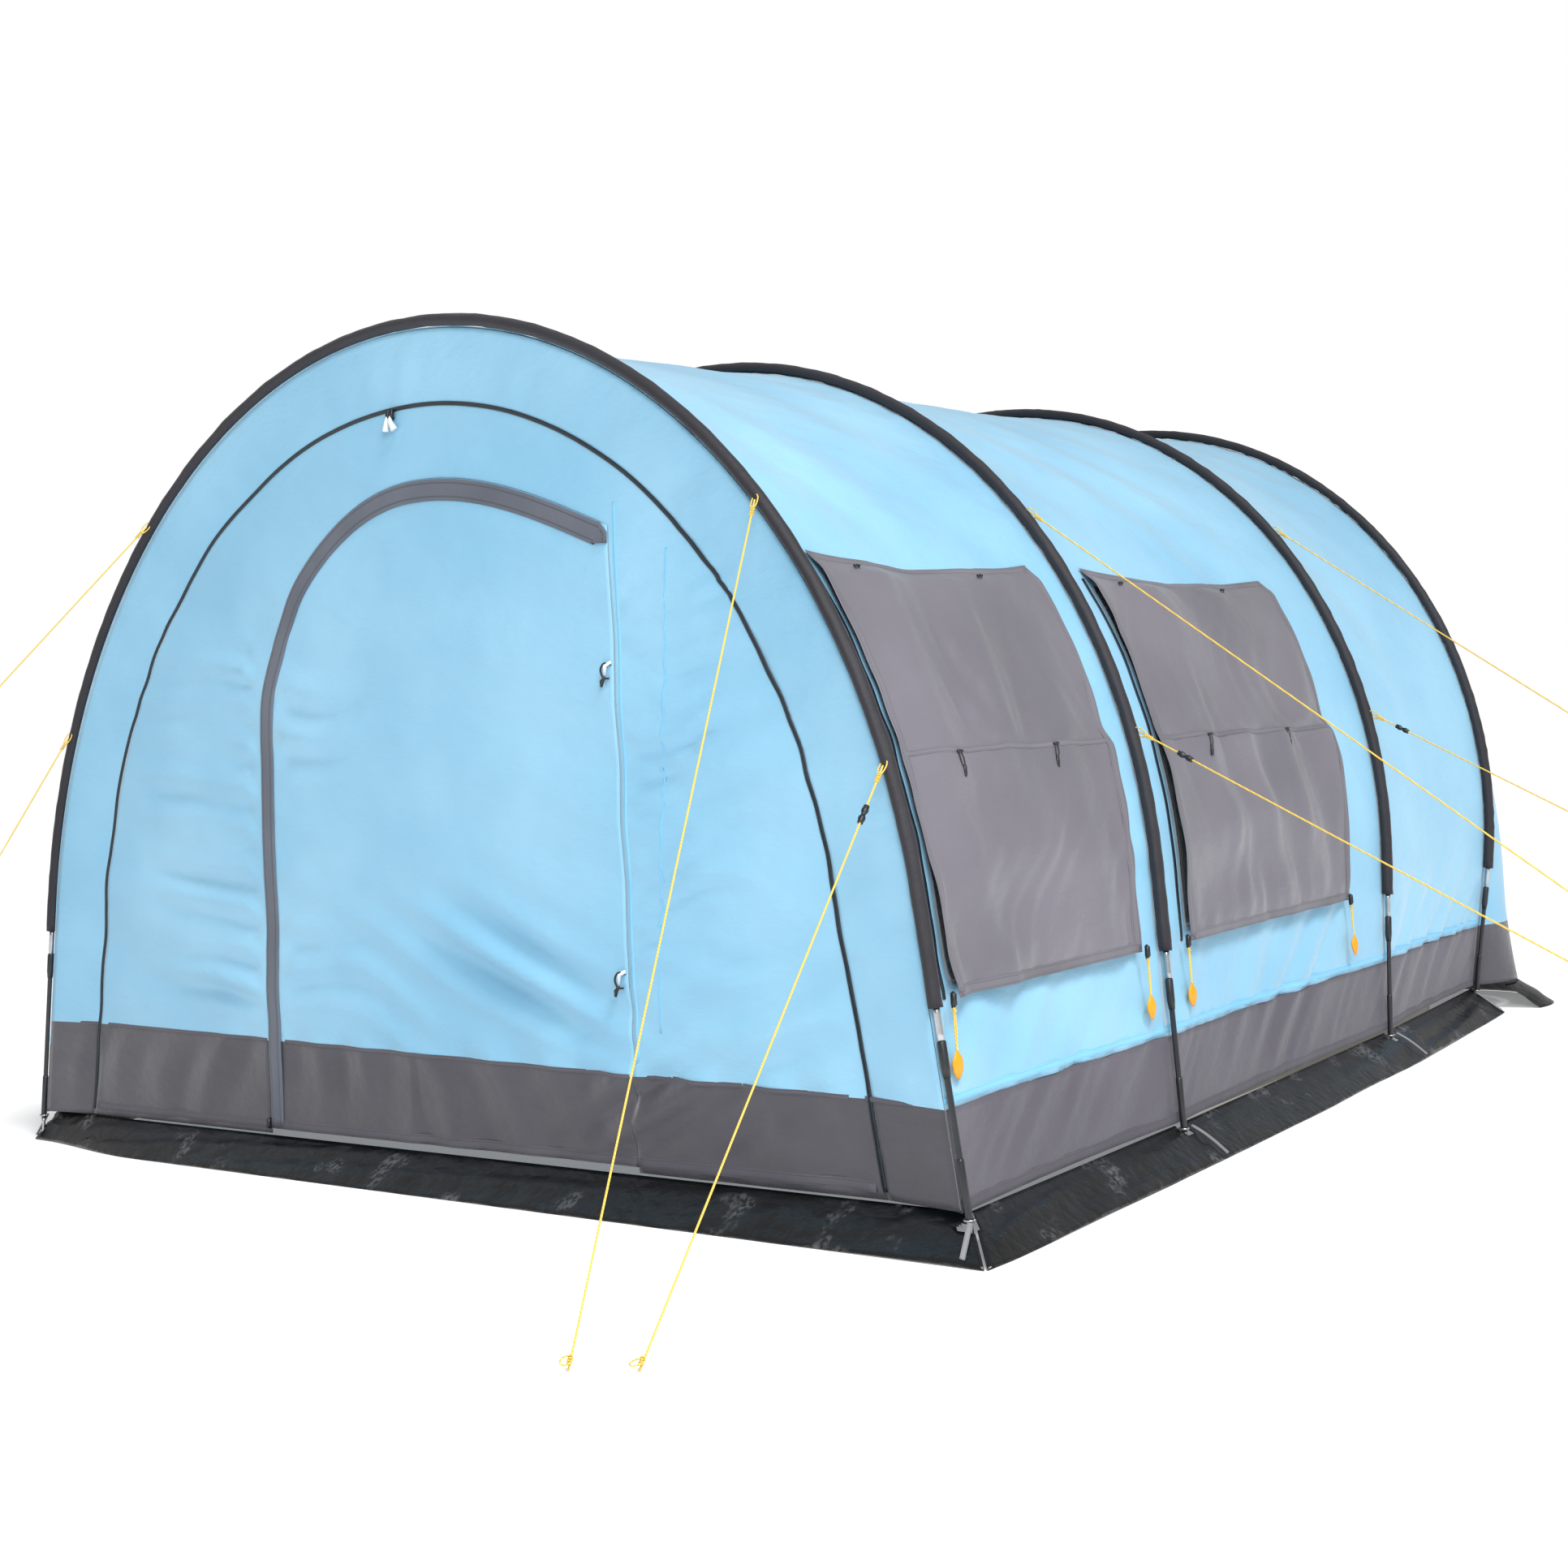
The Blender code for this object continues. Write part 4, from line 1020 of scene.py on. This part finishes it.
def doorTop(x):
    rising = door["hingeTop"] + (door["crown"] - door["hingeTop"]) * np.sin(
        np.clip((door["hingeX"] - x) / (door["hingeX"] - door["crownX"]), 0, 1) * pi / 2)
    reach = np.clip((door["crownX"] - x) / (door["crownX"] - door["edgeX"]), 0, 1)
    curved = door["shoulder"] + (door["crown"] - door["shoulder"]) * np.sqrt(1 - reach ** 2)
    return np.where(x > door["crownX"], rising, curved)


def frontPoints(x, z, lift=0.0):
    return place(x, front["depth"] + frontRelief(x, z) - lift, z)


def addFront():
    count = 331
    half = np.linspace(0, 2, count // 2 + 1)
    u = np.concatenate([half, (4 - half[:-1])[::-1]])
    ax, az = archLine(arches[0], u, liningInset)
    zx, zz = archLine(zipArch, u, 0.0, zipRise)
    az, zz = np.maximum(az, 0), np.maximum(zz, 0)
    rows, flatRows = [], []
    for share in np.linspace(0, 1, 15):
        x, z = ax + (zx - ax) * share, az + (zz - az) * share
        y = 0.001 + (front["depth"] - 0.001) * share
        steps = np.arange(count)
        soft = (0.0022 * folds(steps * 0.016, z, 0.13, 0.5, 14) * sin(pi * share)
                + 0.0013 * ripple(steps * 0.7, z * 2, 15) * (1 - share) ** 4 * min(1.0, 12 * share))
        rows.append(place(x, y + frontRelief(x, z) * share + soft, z))
        flatRows.append(place(x, y, z))
    hood, flatHood = np.stack(rows), np.stack(flatRows)
    made = addCloth("front_hood_cloth", hood, "front")
    finishPiece(made, tent["body"], ["front_hood"])

    zx, zz = archLine(zipArch, u, 0.0005, zipRise)
    zz = np.maximum(zz, 0)
    dx, dz = doorOutline(np.linspace(0, 1, count), 0.0006)
    rows, flatRows = [], []
    for share in np.linspace(0, 1, 44):
        x, z = zx + (dx - zx) * share, zz + (dz - zz) * share
        rows.append(frontPoints(x, z))
        flatRows.append(place(x, front["depth"], z))
    made = addCloth("front_panel_cloth", np.stack(rows), "front")
    finishPiece(made, front["panelBody"], ["front_panel"])

    x = np.linspace(door["edgeX"] + 0.0004, door["hingeX"] - 0.0004, 110)
    share = np.linspace(0, 1, 130)[:, None]
    z = door["foot"] + (doorTop(x)[None, :] - door["foot"]) * share
    grid = frontPoints(np.broadcast_to(x, z.shape), z)
    made = addCloth("door_cloth", grid, "front")
    finishPiece(made, front["doorBody"], ["door"])
    place(np.broadcast_to(x, z.shape), front["depth"], z)
    addFrontTrim(u)


def addFrontTrim(u):
    addStormFlap()
    panel, doorBody, hood = front["panelBody"], front["doorBody"], tent["body"]
    # seams of the hinge side and of the pocket beside it: top and foot of each, and how far it stands out
    for label, (topX, topZ), (lowX, lowZ), height in (("hinge", (0.772, 1.47), (0.764, 0.235), 0.0009),
                                                      ("pocket", (0.93, 1.35), (0.835, 0.30), 0.0002)):
        share = np.linspace(0, 1, 60)
        path = frontPoints(topX + (lowX - topX) * share, topZ + (lowZ - topZ) * share)
        addFrontStrip(f"front_{label}_seam", path, seams["door"], height, "flySeam", panel, height / 2)
    # arch zip
    stations = u[(u > 0.012) & (u < 3.988)]
    zx, zz = archLine(zipArch, stations, 0.0, zipRise)
    wobble = 0.0035 * ripple(np.arange(len(zx)) * 0.33, zz, 16)
    path = frontPoints(zx * (1 + wobble / 1.6), np.maximum(zz, 0.003))
    addFrontStrip("arch_zip_tape", path, seams["zip"], 0.0022, "zip", tent["body"], 0.0012)
    # band seam across the front, split at the door
    for label, first, last, body in (("left", -1.36, -0.60, panel), ("door", -0.525, 0.745, doorBody),
                                     ("right", 0.785, 1.36, panel), ("hood_left", -1.60, -1.40, hood),
                                     ("hood_right", 1.40, 1.60, hood)):
        x = np.linspace(first, last, max(8, int((last - first) / 0.02)))
        z = frontBand["middle"] - frontBand["slope"] * x
        path = frontPoints(x, z)
        if body == hood:
            share = np.clip((1.66 - np.abs(x)) / 0.26, 0, 1)
            flatY = 0.001 + (front["depth"] - 0.001) * share
            path[:, 1] = flatY - tent["middleY"] + frontRelief(x, z) * share
        addFrontStrip(f"front_band_seam_{label}", path, seams["frontBand"], 0.0007, "bandSeam", body)
    # hem along the bottom
    for label, first, last, body in (("left", -1.42, -0.595, panel), ("right", 0.755, 1.42, panel),
                                     ("door", -0.585, 0.745, doorBody)):
        x = np.linspace(first, last, max(8, int((last - first) / 0.02)))
        path = frontPoints(x, np.full(len(x), 0.024))
        addFrontStrip(f"front_hem_{label}", path, seams["hem"], seams["hemLift"], "bandSeam", body)
    addDoorFittings()


def addFrontStrip(name, path, width, lift, materialName, body, crown=0.0006):
    out = np.broadcast_to([0.0, -1.0, 0.0], path.shape)
    return addStrip(name, path, out, width, lift, materialName, body, crown=crown)


def addStormFlap():
    # flap over the door's zip, sewn along the door's outline and a little narrower towards its foot
    shares = np.linspace(0.292, 0.994, 130)
    ox, oz = doorOutline(shares, -0.001)
    tangent = unit(np.stack([np.gradient(ox), np.gradient(oz)], -1))
    inward = np.stack([-tangent[:, 1], tangent[:, 0]], -1)
    if inward[60, 1] > 0:
        inward = -inward
    width = front["flapWidth"] * (0.9 + 0.1 * np.clip(1 - shares, 0, 1))
    path = frontPoints(ox + inward[:, 0] * width / 2, oz + inward[:, 1] * width / 2, 0.0012)
    addFrontStrip("door_storm_flap", path, width, 0.0022, "storm", front["doorBody"], 0.003)


def sliderHead(node, out=0.0):
    # line down the middle of a zip slider, and where it sits
    low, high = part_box(node)
    x, y = (low.x + high.x) / 2, low.y
    line = [[x, high.y, high.z], [x, y, high.z - 0.003], [x, y - out, low.z + 0.004], [x, high.y, low.z]]
    return np.array(line), x, y, low.z


def addDoorFittings():
    # elastic loops with toggles that hold the rolled door
    for number, (x, z) in enumerate(((0.735, 1.10), (0.735, 0.42)), 1):
        at = frontPoints(np.array([x]), np.array([z]), 0.002)[0]
        loop = smoothPath([
            at + [0.008, 0, 0.006], at + [-0.004, -0.010, 0.010], at + [-0.012, -0.014, -0.004],
            at + [-0.008, -0.010, -0.022], at + [0.004, -0.004, -0.024]], 6)
        toggle = [at + [-0.006, -0.008, -0.020], at + [-0.014, -0.010, -0.03], at + [-0.016, -0.010, -0.042]]
        addTubes(f"door_tie_{number}", [(loop, 0.0024), (toggle, [0.003, 0.005, 0.003])], "black",
                 front["doorBody"], 8)
        tab = [at + [0.01, -0.002, 0.012], at + [-0.006, -0.006, 0.006], at + [-0.008, -0.006, -0.016]]
        addTubes(f"door_tie_tab_{number}", [(tab, [0.004, 0.006, 0.003])], "white", front["doorBody"],
                 8)
    radii = [0.004, 0.0062, 0.0068, 0.004]
    for side, lean in (("right", 0.012), ("left", -0.006)):
        node = f"arch_zip_slider_{side}"
        head, x, y, low = sliderHead(node, 0.001)
        addTubes(f"arch_zip_pull_{side}", [(head, radii)], "black", f"{node}_body", 10, [node])
        end = np.array([x + lean, y - 0.004, low - 0.030])
        tag = smoothPath([[x, y - 0.003, low + 0.01], [x, y - 0.006, low - 0.006], end], 6)
        tagRadii = np.interp(np.linspace(0, 1, len(tag)), [0, 0.35, 1], [0.0025, 0.004, 0.0095])
        addTubes(f"arch_zip_tag_{side}", [(tag, tagRadii)], "white", f"{node}_body", 10)
    head, _, _, _ = sliderHead("door_zip_slider")
    addTubes("door_zip_pull", [(head, radii)], "black", "door_zip_slider_body", 10,
             ["door_zip_slider"])


# ---- rear wall

rear = {"flare": 0.40, "cornerPower": 30, "sideFlare": 0.085, "fold": 0.004, "flat": (3.2, 2.3),
        "centreFlat": (0.16, 0.10)}


def cornerSwell(share):
    # how much of the sideways flare a share of the half width takes, most just short of the corner
    kept = share ** rear["cornerPower"]
    return 4 * kept * (1 - kept)


def rearSurface(share, x, z):
    height = np.maximum(z, 0) * share
    arch = arches[3]
    low = 1 - height / tent["rise"]
    flare = rear["flare"] * low * (1 - share ** rear["cornerPower"])
    wider = 1 + rear["sideFlare"] * low ** 6 * cornerSwell(share)
    return x * share * wider, arch["y"] + arch["lean"] * height - 0.002 + flare, height


def addRear():
    half = np.linspace(0, 2, 150)
    u = np.concatenate([half, (4 - half[:-1])[::-1]])
    x, z = archLine(arches[3], u, liningInset)
    shares = np.concatenate([1 - 0.14 * np.linspace(0, 1, 24) ** 1.5, np.linspace(0.84, 0.05, 38)])
    smooth, shaped = [], []
    for share in shares:
        px, py, pz = rearSurface(share, x, z)
        fold = folds(px + 0.4 * pz, pz, 0.24, 0.9, 17) + folds(pz, px, 0.30, 1.4, 18)
        fold = rear["fold"] * fold * min(1.0, (1 - share) * 9) * ease(pz, 0.0, 0.1)
        smooth.append(place(px, py, pz))
        shaped.append(place(px, py + fold, pz))
    grid = np.stack(shaped)
    made = addCloth("rear_wall_cloth", grid, "rear")
    finishPiece(made, tent["body"], ["rear_panel"])
    # the middle of the wall, closed down to its hem
    cap = grid[-1]
    middle = (cap[0] + cap[-1]) / 2
    rings = np.stack([cap + (middle - cap) * s for s in (0.0, 0.35, 0.7, 0.99)])
    patch = addCloth("rear_wall_centre", rings + np.array([0, -0.0001, 0]), "rear", thickness=0.001)
    finishPiece(patch, tent["body"])


# ---- mud flaps

flap = {"reach": 0.1075, "drop": 0.005, "ground": 0.0015, "notch": 0.014, "slotReach": 0.036, "mitre": 0.004,
        "crease": 0.0052, "roll": 0.006, "least": -0.001, "lowest": 0.001, "thickness": 0.0009,
        "edgeWave": 0.003, "cornerCut": 0.42, "cutLength": 0.65, "cornerEnd": 0.034}


def flapPoint(x, y, reach, lift=0.0):
    slope = (tent["hemHeight"] - flap["drop"] - flap["ground"]) / flap["reach"]
    return place(x, y, -flap["drop"] - slope * reach + lift)


def flapLift(run, reach, seed):
    # creases that run along the film and a few across it, and a roll between the hem and the ground
    share = reach / flap["reach"]
    held = np.clip(share * 4, 0, 1) * np.clip((1 - share) * 5 + 0.25, 0, 1)
    crease = 0.9 * folds(reach + 0.06 * run, run, 0.06, 1.6, seed, 1.6)
    crease = crease + 0.45 * folds(run + 0.9 * reach, reach * 6, 0.16, 0.8, seed + 1, 1.8)
    roll = flap["roll"] * np.sin(pi * share) * (0.6 + 0.4 * ripple(run * 9, share * 2, seed + 2))
    return flap["crease"] * crease * held + roll * held


def flapCut(fromCorner):
    # the left front corner of the flap is tucked in: share of its reach at this distance from the corner
    return flap["cornerCut"] + (1 - flap["cornerCut"]) * ease(fromCorner, 0.0, flap["cutLength"])


def wallFoot(index):
    return float(archXZ(arches[index], 0.0, tent["wallInset"])[0]), arches[index]["y"]


def addFlap(label, rows, skip=None):
    grid = np.stack(rows)
    grid[..., 2] = np.maximum(grid[..., 2], flap["lowest"])
    made = addCloth(f"mud_flap_{label}_film", grid, "flap", skip, thickness=flap["thickness"])
    finishPiece(made, tent["body"], [f"mud_flap_{label}"])


def middlesOf(rows):
    grid = np.stack(rows)
    return (grid[:-1, :-1] + grid[1:, 1:]) / 2


def addFlaps():
    addSideFlaps()
    addFrontFlap()
    addRearFlap()
    addStraps()


def addSideFlaps():
    reach = np.linspace(0, flap["reach"], 13)
    feet = [wallFoot(i) for i in range(4)]
    ys = np.linspace(feet[0][1] + flap["cornerEnd"], feet[3][1] - flap["notch"], 250)
    for index in (1, 2):
        ys = np.concatenate([ys, [feet[index][1] - flap["notch"], feet[index][1] + flap["notch"]]])
    ys = np.sort(ys)
    xs = np.interp(ys, [f[1] for f in feet], [f[0] for f in feet])
    for side, name, seed in ((1, "right", 81), (-1, "left", 85)):
        rows, smooth = [], []
        for step in np.linspace(0, 1, 5)[:-1]:
            cut = 1.0 if side == 1 else flapCut(0.0)
            y = front["depth"] + (flap["cornerEnd"] - front["depth"]) * step
            y = y - (reach * cut - flap["mitre"]) * (1 - step)
            lift = flapLift(np.full(len(reach), y[0]), reach, 81) * step
            rows.append(flapPoint(side * (feet[0][0] + reach * cut), y, reach, np.maximum(lift, 0)))
            smooth.append(flapPoint(side * (feet[0][0] + reach), y, reach))
        for x, y in zip(xs, ys):
            lift = flapLift(np.full(len(reach), y), reach, seed)
            wave = flap["edgeWave"] * ripple(np.full(len(reach), y * 14), reach * 0, 88)
            cut = 1.0 if side == 1 else flapCut(y)
            out = x + (reach - wave * reach / flap["reach"]) * cut
            rows.append(flapPoint(side * out, y, reach, np.maximum(lift, flap["least"])))
            smooth.append(flapPoint(side * (x + reach), y, reach))
        # cuts round the feet of the middle poles and at the front pole
        middle = middlesOf(rows)
        skip = np.zeros(middle.shape[:2], bool)
        for index in (1, 2):
            inSlot = np.abs(middle[..., 1] + tent["middleY"] - feet[index][1]) < flap["notch"]
            skip |= inSlot & (reach[:-1][None, :] < flap["slotReach"] - 0.002)
        skip[0, reach[:-1] < 0.03] = True
        addFlap(name, rows, skip)


def addFrontFlap():
    reach = np.linspace(0, flap["reach"], 13)
    corner = wallFoot(0)[0]
    rows, smooth = [], []
    for share in np.linspace(-1, 1, 241):
        cut = flapCut((share + 1) * corner)
        x = share * (corner + reach * cut - flap["mitre"])
        y = np.full(len(reach), front["depth"]) - reach * cut
        lift = flapLift(np.full(len(reach), share * 1.6), reach, 91) * min(1.0, (1 - abs(share)) * 20)
        swell = 0.003 * np.sin(pi * reach / flap["reach"]) * ease(abs(share), 0.5, 0.9)
        rows.append(flapPoint(x, y, reach, np.maximum(lift, flap["least"]) + swell))
        smooth.append(flapPoint(x, y, reach))
    skip = (np.abs(middlesOf(rows)[..., 0]) > corner - 0.002) & (reach[:-1][None, :] < 0.044)
    addFlap("front", rows, skip)


def addRearFlap():
    reach = np.linspace(0, flap["reach"], 13)
    half = float(archXZ(arches[3], 0.0, liningInset)[0])
    power = rear["cornerPower"]
    rows, smooth = [], []
    for step in np.linspace(0, 1, 221):
        share = 0.99 * cos(pi * step)
        slope = -power * rear["flare"] * share * abs(share) ** (power - 2) / half
        normal = np.array([-slope, 1.0]) / sqrt(1 + slope * slope)
        wider = 1 + rear["sideFlare"] * cornerSwell(abs(share))
        x, y = half * share * wider, arches[3]["y"] + rear["flare"] * (1 - abs(share) ** power)
        outX, outY = x + normal[0] * reach, y + normal[1] * reach
        lift = flapLift(np.full(len(reach), x), reach, 95)
        rows.append(flapPoint(outX, outY, reach, np.maximum(lift, flap["least"])))
        smooth.append(flapPoint(outX, outY, reach))
    addFlap("rear", rows)


def addStraps():
    # webbing from each pole's foot over the flap to its outer edge
    for side, name in ((1, "right"), (-1, "left")):
        for index in range(4):
            x, y = wallFoot(index)
            run = np.linspace(0.024, flap["reach"] - 0.004, 14)
            if index in (1, 2):
                crest = 0.0075 + 0.008 * np.sin(pi * run / flap["reach"])
                path = flapPoint(side * (x + run), y + 0.016 + 0.2 * run, run, crest)
            elif index == 0:
                out = run * (1.0 if side == 1 else flapCut(0.0))
                path = flapPoint(side * (x + 0.012 + 0.35 * out), y + 0.022 - 0.9 * out, run, 0.010)
            else:
                path = flapPoint(side * (x + run), y - 0.03, run, 0.0075)
            normals = np.broadcast_to([side * 0.55, 0.0, 0.83], path.shape)
            addStrip(f"foot_strap_{name}_{index + 1}", path, normals, 0.011, 0.0012, "webbing", tent["body"])


# ---- inner cabin

cabin = {"inset": 0.10, "front": 1.35, "rear": 3.12, "floor": 0.004, "middleHeight": 0.72, "doorway": 0.52}


def cabinRing(arch, y):
    u = np.concatenate([np.linspace(0.09, 1, 34), np.linspace(1, 2, 34)[1:]])
    u = np.concatenate([u, (4 - u[:-1])[::-1]])
    x, z = archLine(arch, u, cabin["inset"])
    footX = float(archXZ(arch, 0.0, cabin["inset"])[0])
    floor = cabin["floor"] - tent["hemHeight"]
    floorX = np.linspace(-footX, footX, 60)
    x = np.concatenate([[footX], x, floorX[:-1]])
    z = np.concatenate([[floor], z, np.full(59, floor)])
    return place(x, y, z)


def addCabin():
    first, last = cabinRing(arches[2], cabin["front"]), cabinRing(arches[3], cabin["rear"])
    frontMiddle = place(0, cabin["front"], cabin["middleHeight"])
    rearMiddle = place(0, cabin["rear"], cabin["middleHeight"])
    rows = [frontMiddle + (first - frontMiddle) * s for s in np.linspace(cabin["doorway"], 1, 12)]
    rows += [first + (last - first) * s for s in np.linspace(0, 1, 46)[1:]]
    rows += [rearMiddle + (last - rearMiddle) * s for s in np.linspace(1, 0.02, 22)[1:]]
    grid = np.stack(rows)
    flat = grid.copy()
    wall = np.clip((grid[..., 2] - 0.15) / 0.2, 0, 1)
    y = grid[..., 1]
    soft = folds(grid[..., 2] + 0.4 * y, y, 0.3, 1.4, 19) * 0.006 * wall
    grid[..., 0] -= np.sign(grid[..., 0]) * np.abs(soft) * np.clip(np.abs(grid[..., 0]) * 4, 0, 1)
    made = addCloth("sleeping_cabin_cloth", grid, "cabin", loop=True)
    finishPiece(made, tent["body"], ["inner_cabin"])


# ---- light and ground

# a soft overhead sun from the right, and a lamp box close by the front right corner
studio = {"worldStrength": 0.44, "sunStrength": 1.95, "sunSpread": 0.3, "floorGlow": 0.22, "floorHalf": 60.0,
          "sunFrom": (0.82, -0.22, 1.15),
          "boxPower": 215.0, "boxSize": 2.4, "boxAt": (5.0, -5.0, 4.0), "boxTowards": (0.9, -1.9, 0.9)}


def addStudio():
    world = bpy.data.worlds.new("studioWorld")
    bpy.context.scene.world = world
    world.use_nodes = True
    backdrop = world.node_tree.nodes["Background"]
    backdrop.inputs["Color"].default_value = (1, 1, 1, 1)
    # the backdrop is seen plain white, and lights the tent less than that
    seen = addNode(world.node_tree, "LightPath").outputs["Is Camera Ray"]
    settings = {"operation": "MULTIPLY_ADD", 1: 1.0 - studio["worldStrength"], 2: studio["worldStrength"]}
    strength = addNode(world.node_tree, "Math", settings, {0: seen}).outputs[0]
    world.node_tree.links.new(strength, backdrop.inputs["Strength"])
    sun = bpy.data.lights.new("softKey", "SUN")
    sun.energy, sun.angle = studio["sunStrength"], studio["sunSpread"]
    held = bpy.data.objects.new("softKey", sun)
    held.rotation_euler = Vector(studio["sunFrom"]).to_track_quat("Z", "Y").to_euler()
    bpy.context.scene.collection.objects.link(held)
    box = bpy.data.lights.new("softBox", "AREA")
    box.energy, box.size = studio["boxPower"], studio["boxSize"]
    hung = bpy.data.objects.new("softBox", box)
    hung.location = studio["boxAt"]
    towards = Vector(studio["boxTowards"]) - Vector(studio["boxAt"])
    hung.rotation_euler = towards.to_track_quat("-Z", "Y").to_euler()
    bpy.context.scene.collection.objects.link(hung)
    half = studio["floorHalf"]
    mesh = bpy.data.meshes.new("studioFloor")
    mesh.from_pydata([(-half, -half, 0), (half, -half, 0), (half, half, 0), (-half, half, 0)], [],
                     [(0, 1, 2, 3)])
    mesh.materials.append(plainMaterial("matPaintedFloor", "FFFFFF", "FCFCFC", 0.9, {
        "Emission Color": (1, 1, 1, 1), "Emission Strength": studio["floorGlow"]}))
    floor = bpy.data.objects.new("studioFloor", mesh)
    bpy.context.scene.collection.objects.link(floor)
    bpy.context.scene.view_settings.view_transform = "Standard"


def addPoles():
    # the poles keep their CAD shape
    for number in range(1, 5):
        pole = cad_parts[f"arch_pole_{number}"]
        pole.data.materials.clear()
        pole.data.materials.append(look["pole"])
        for face in pole.data.polygons:
            face.use_smooth = True


addCamera()
addGuyLines()
print("camera and guy lines ready")
addStudio()
addPoles()
addSleeves()
addFeet()
print("poles and sleeves ready")
addFly()
addBands()
addWindows()
print("fly and windows ready")
addFront()
addRear()
addFlaps()
addCabin()
print("walls, flaps and cabin ready")
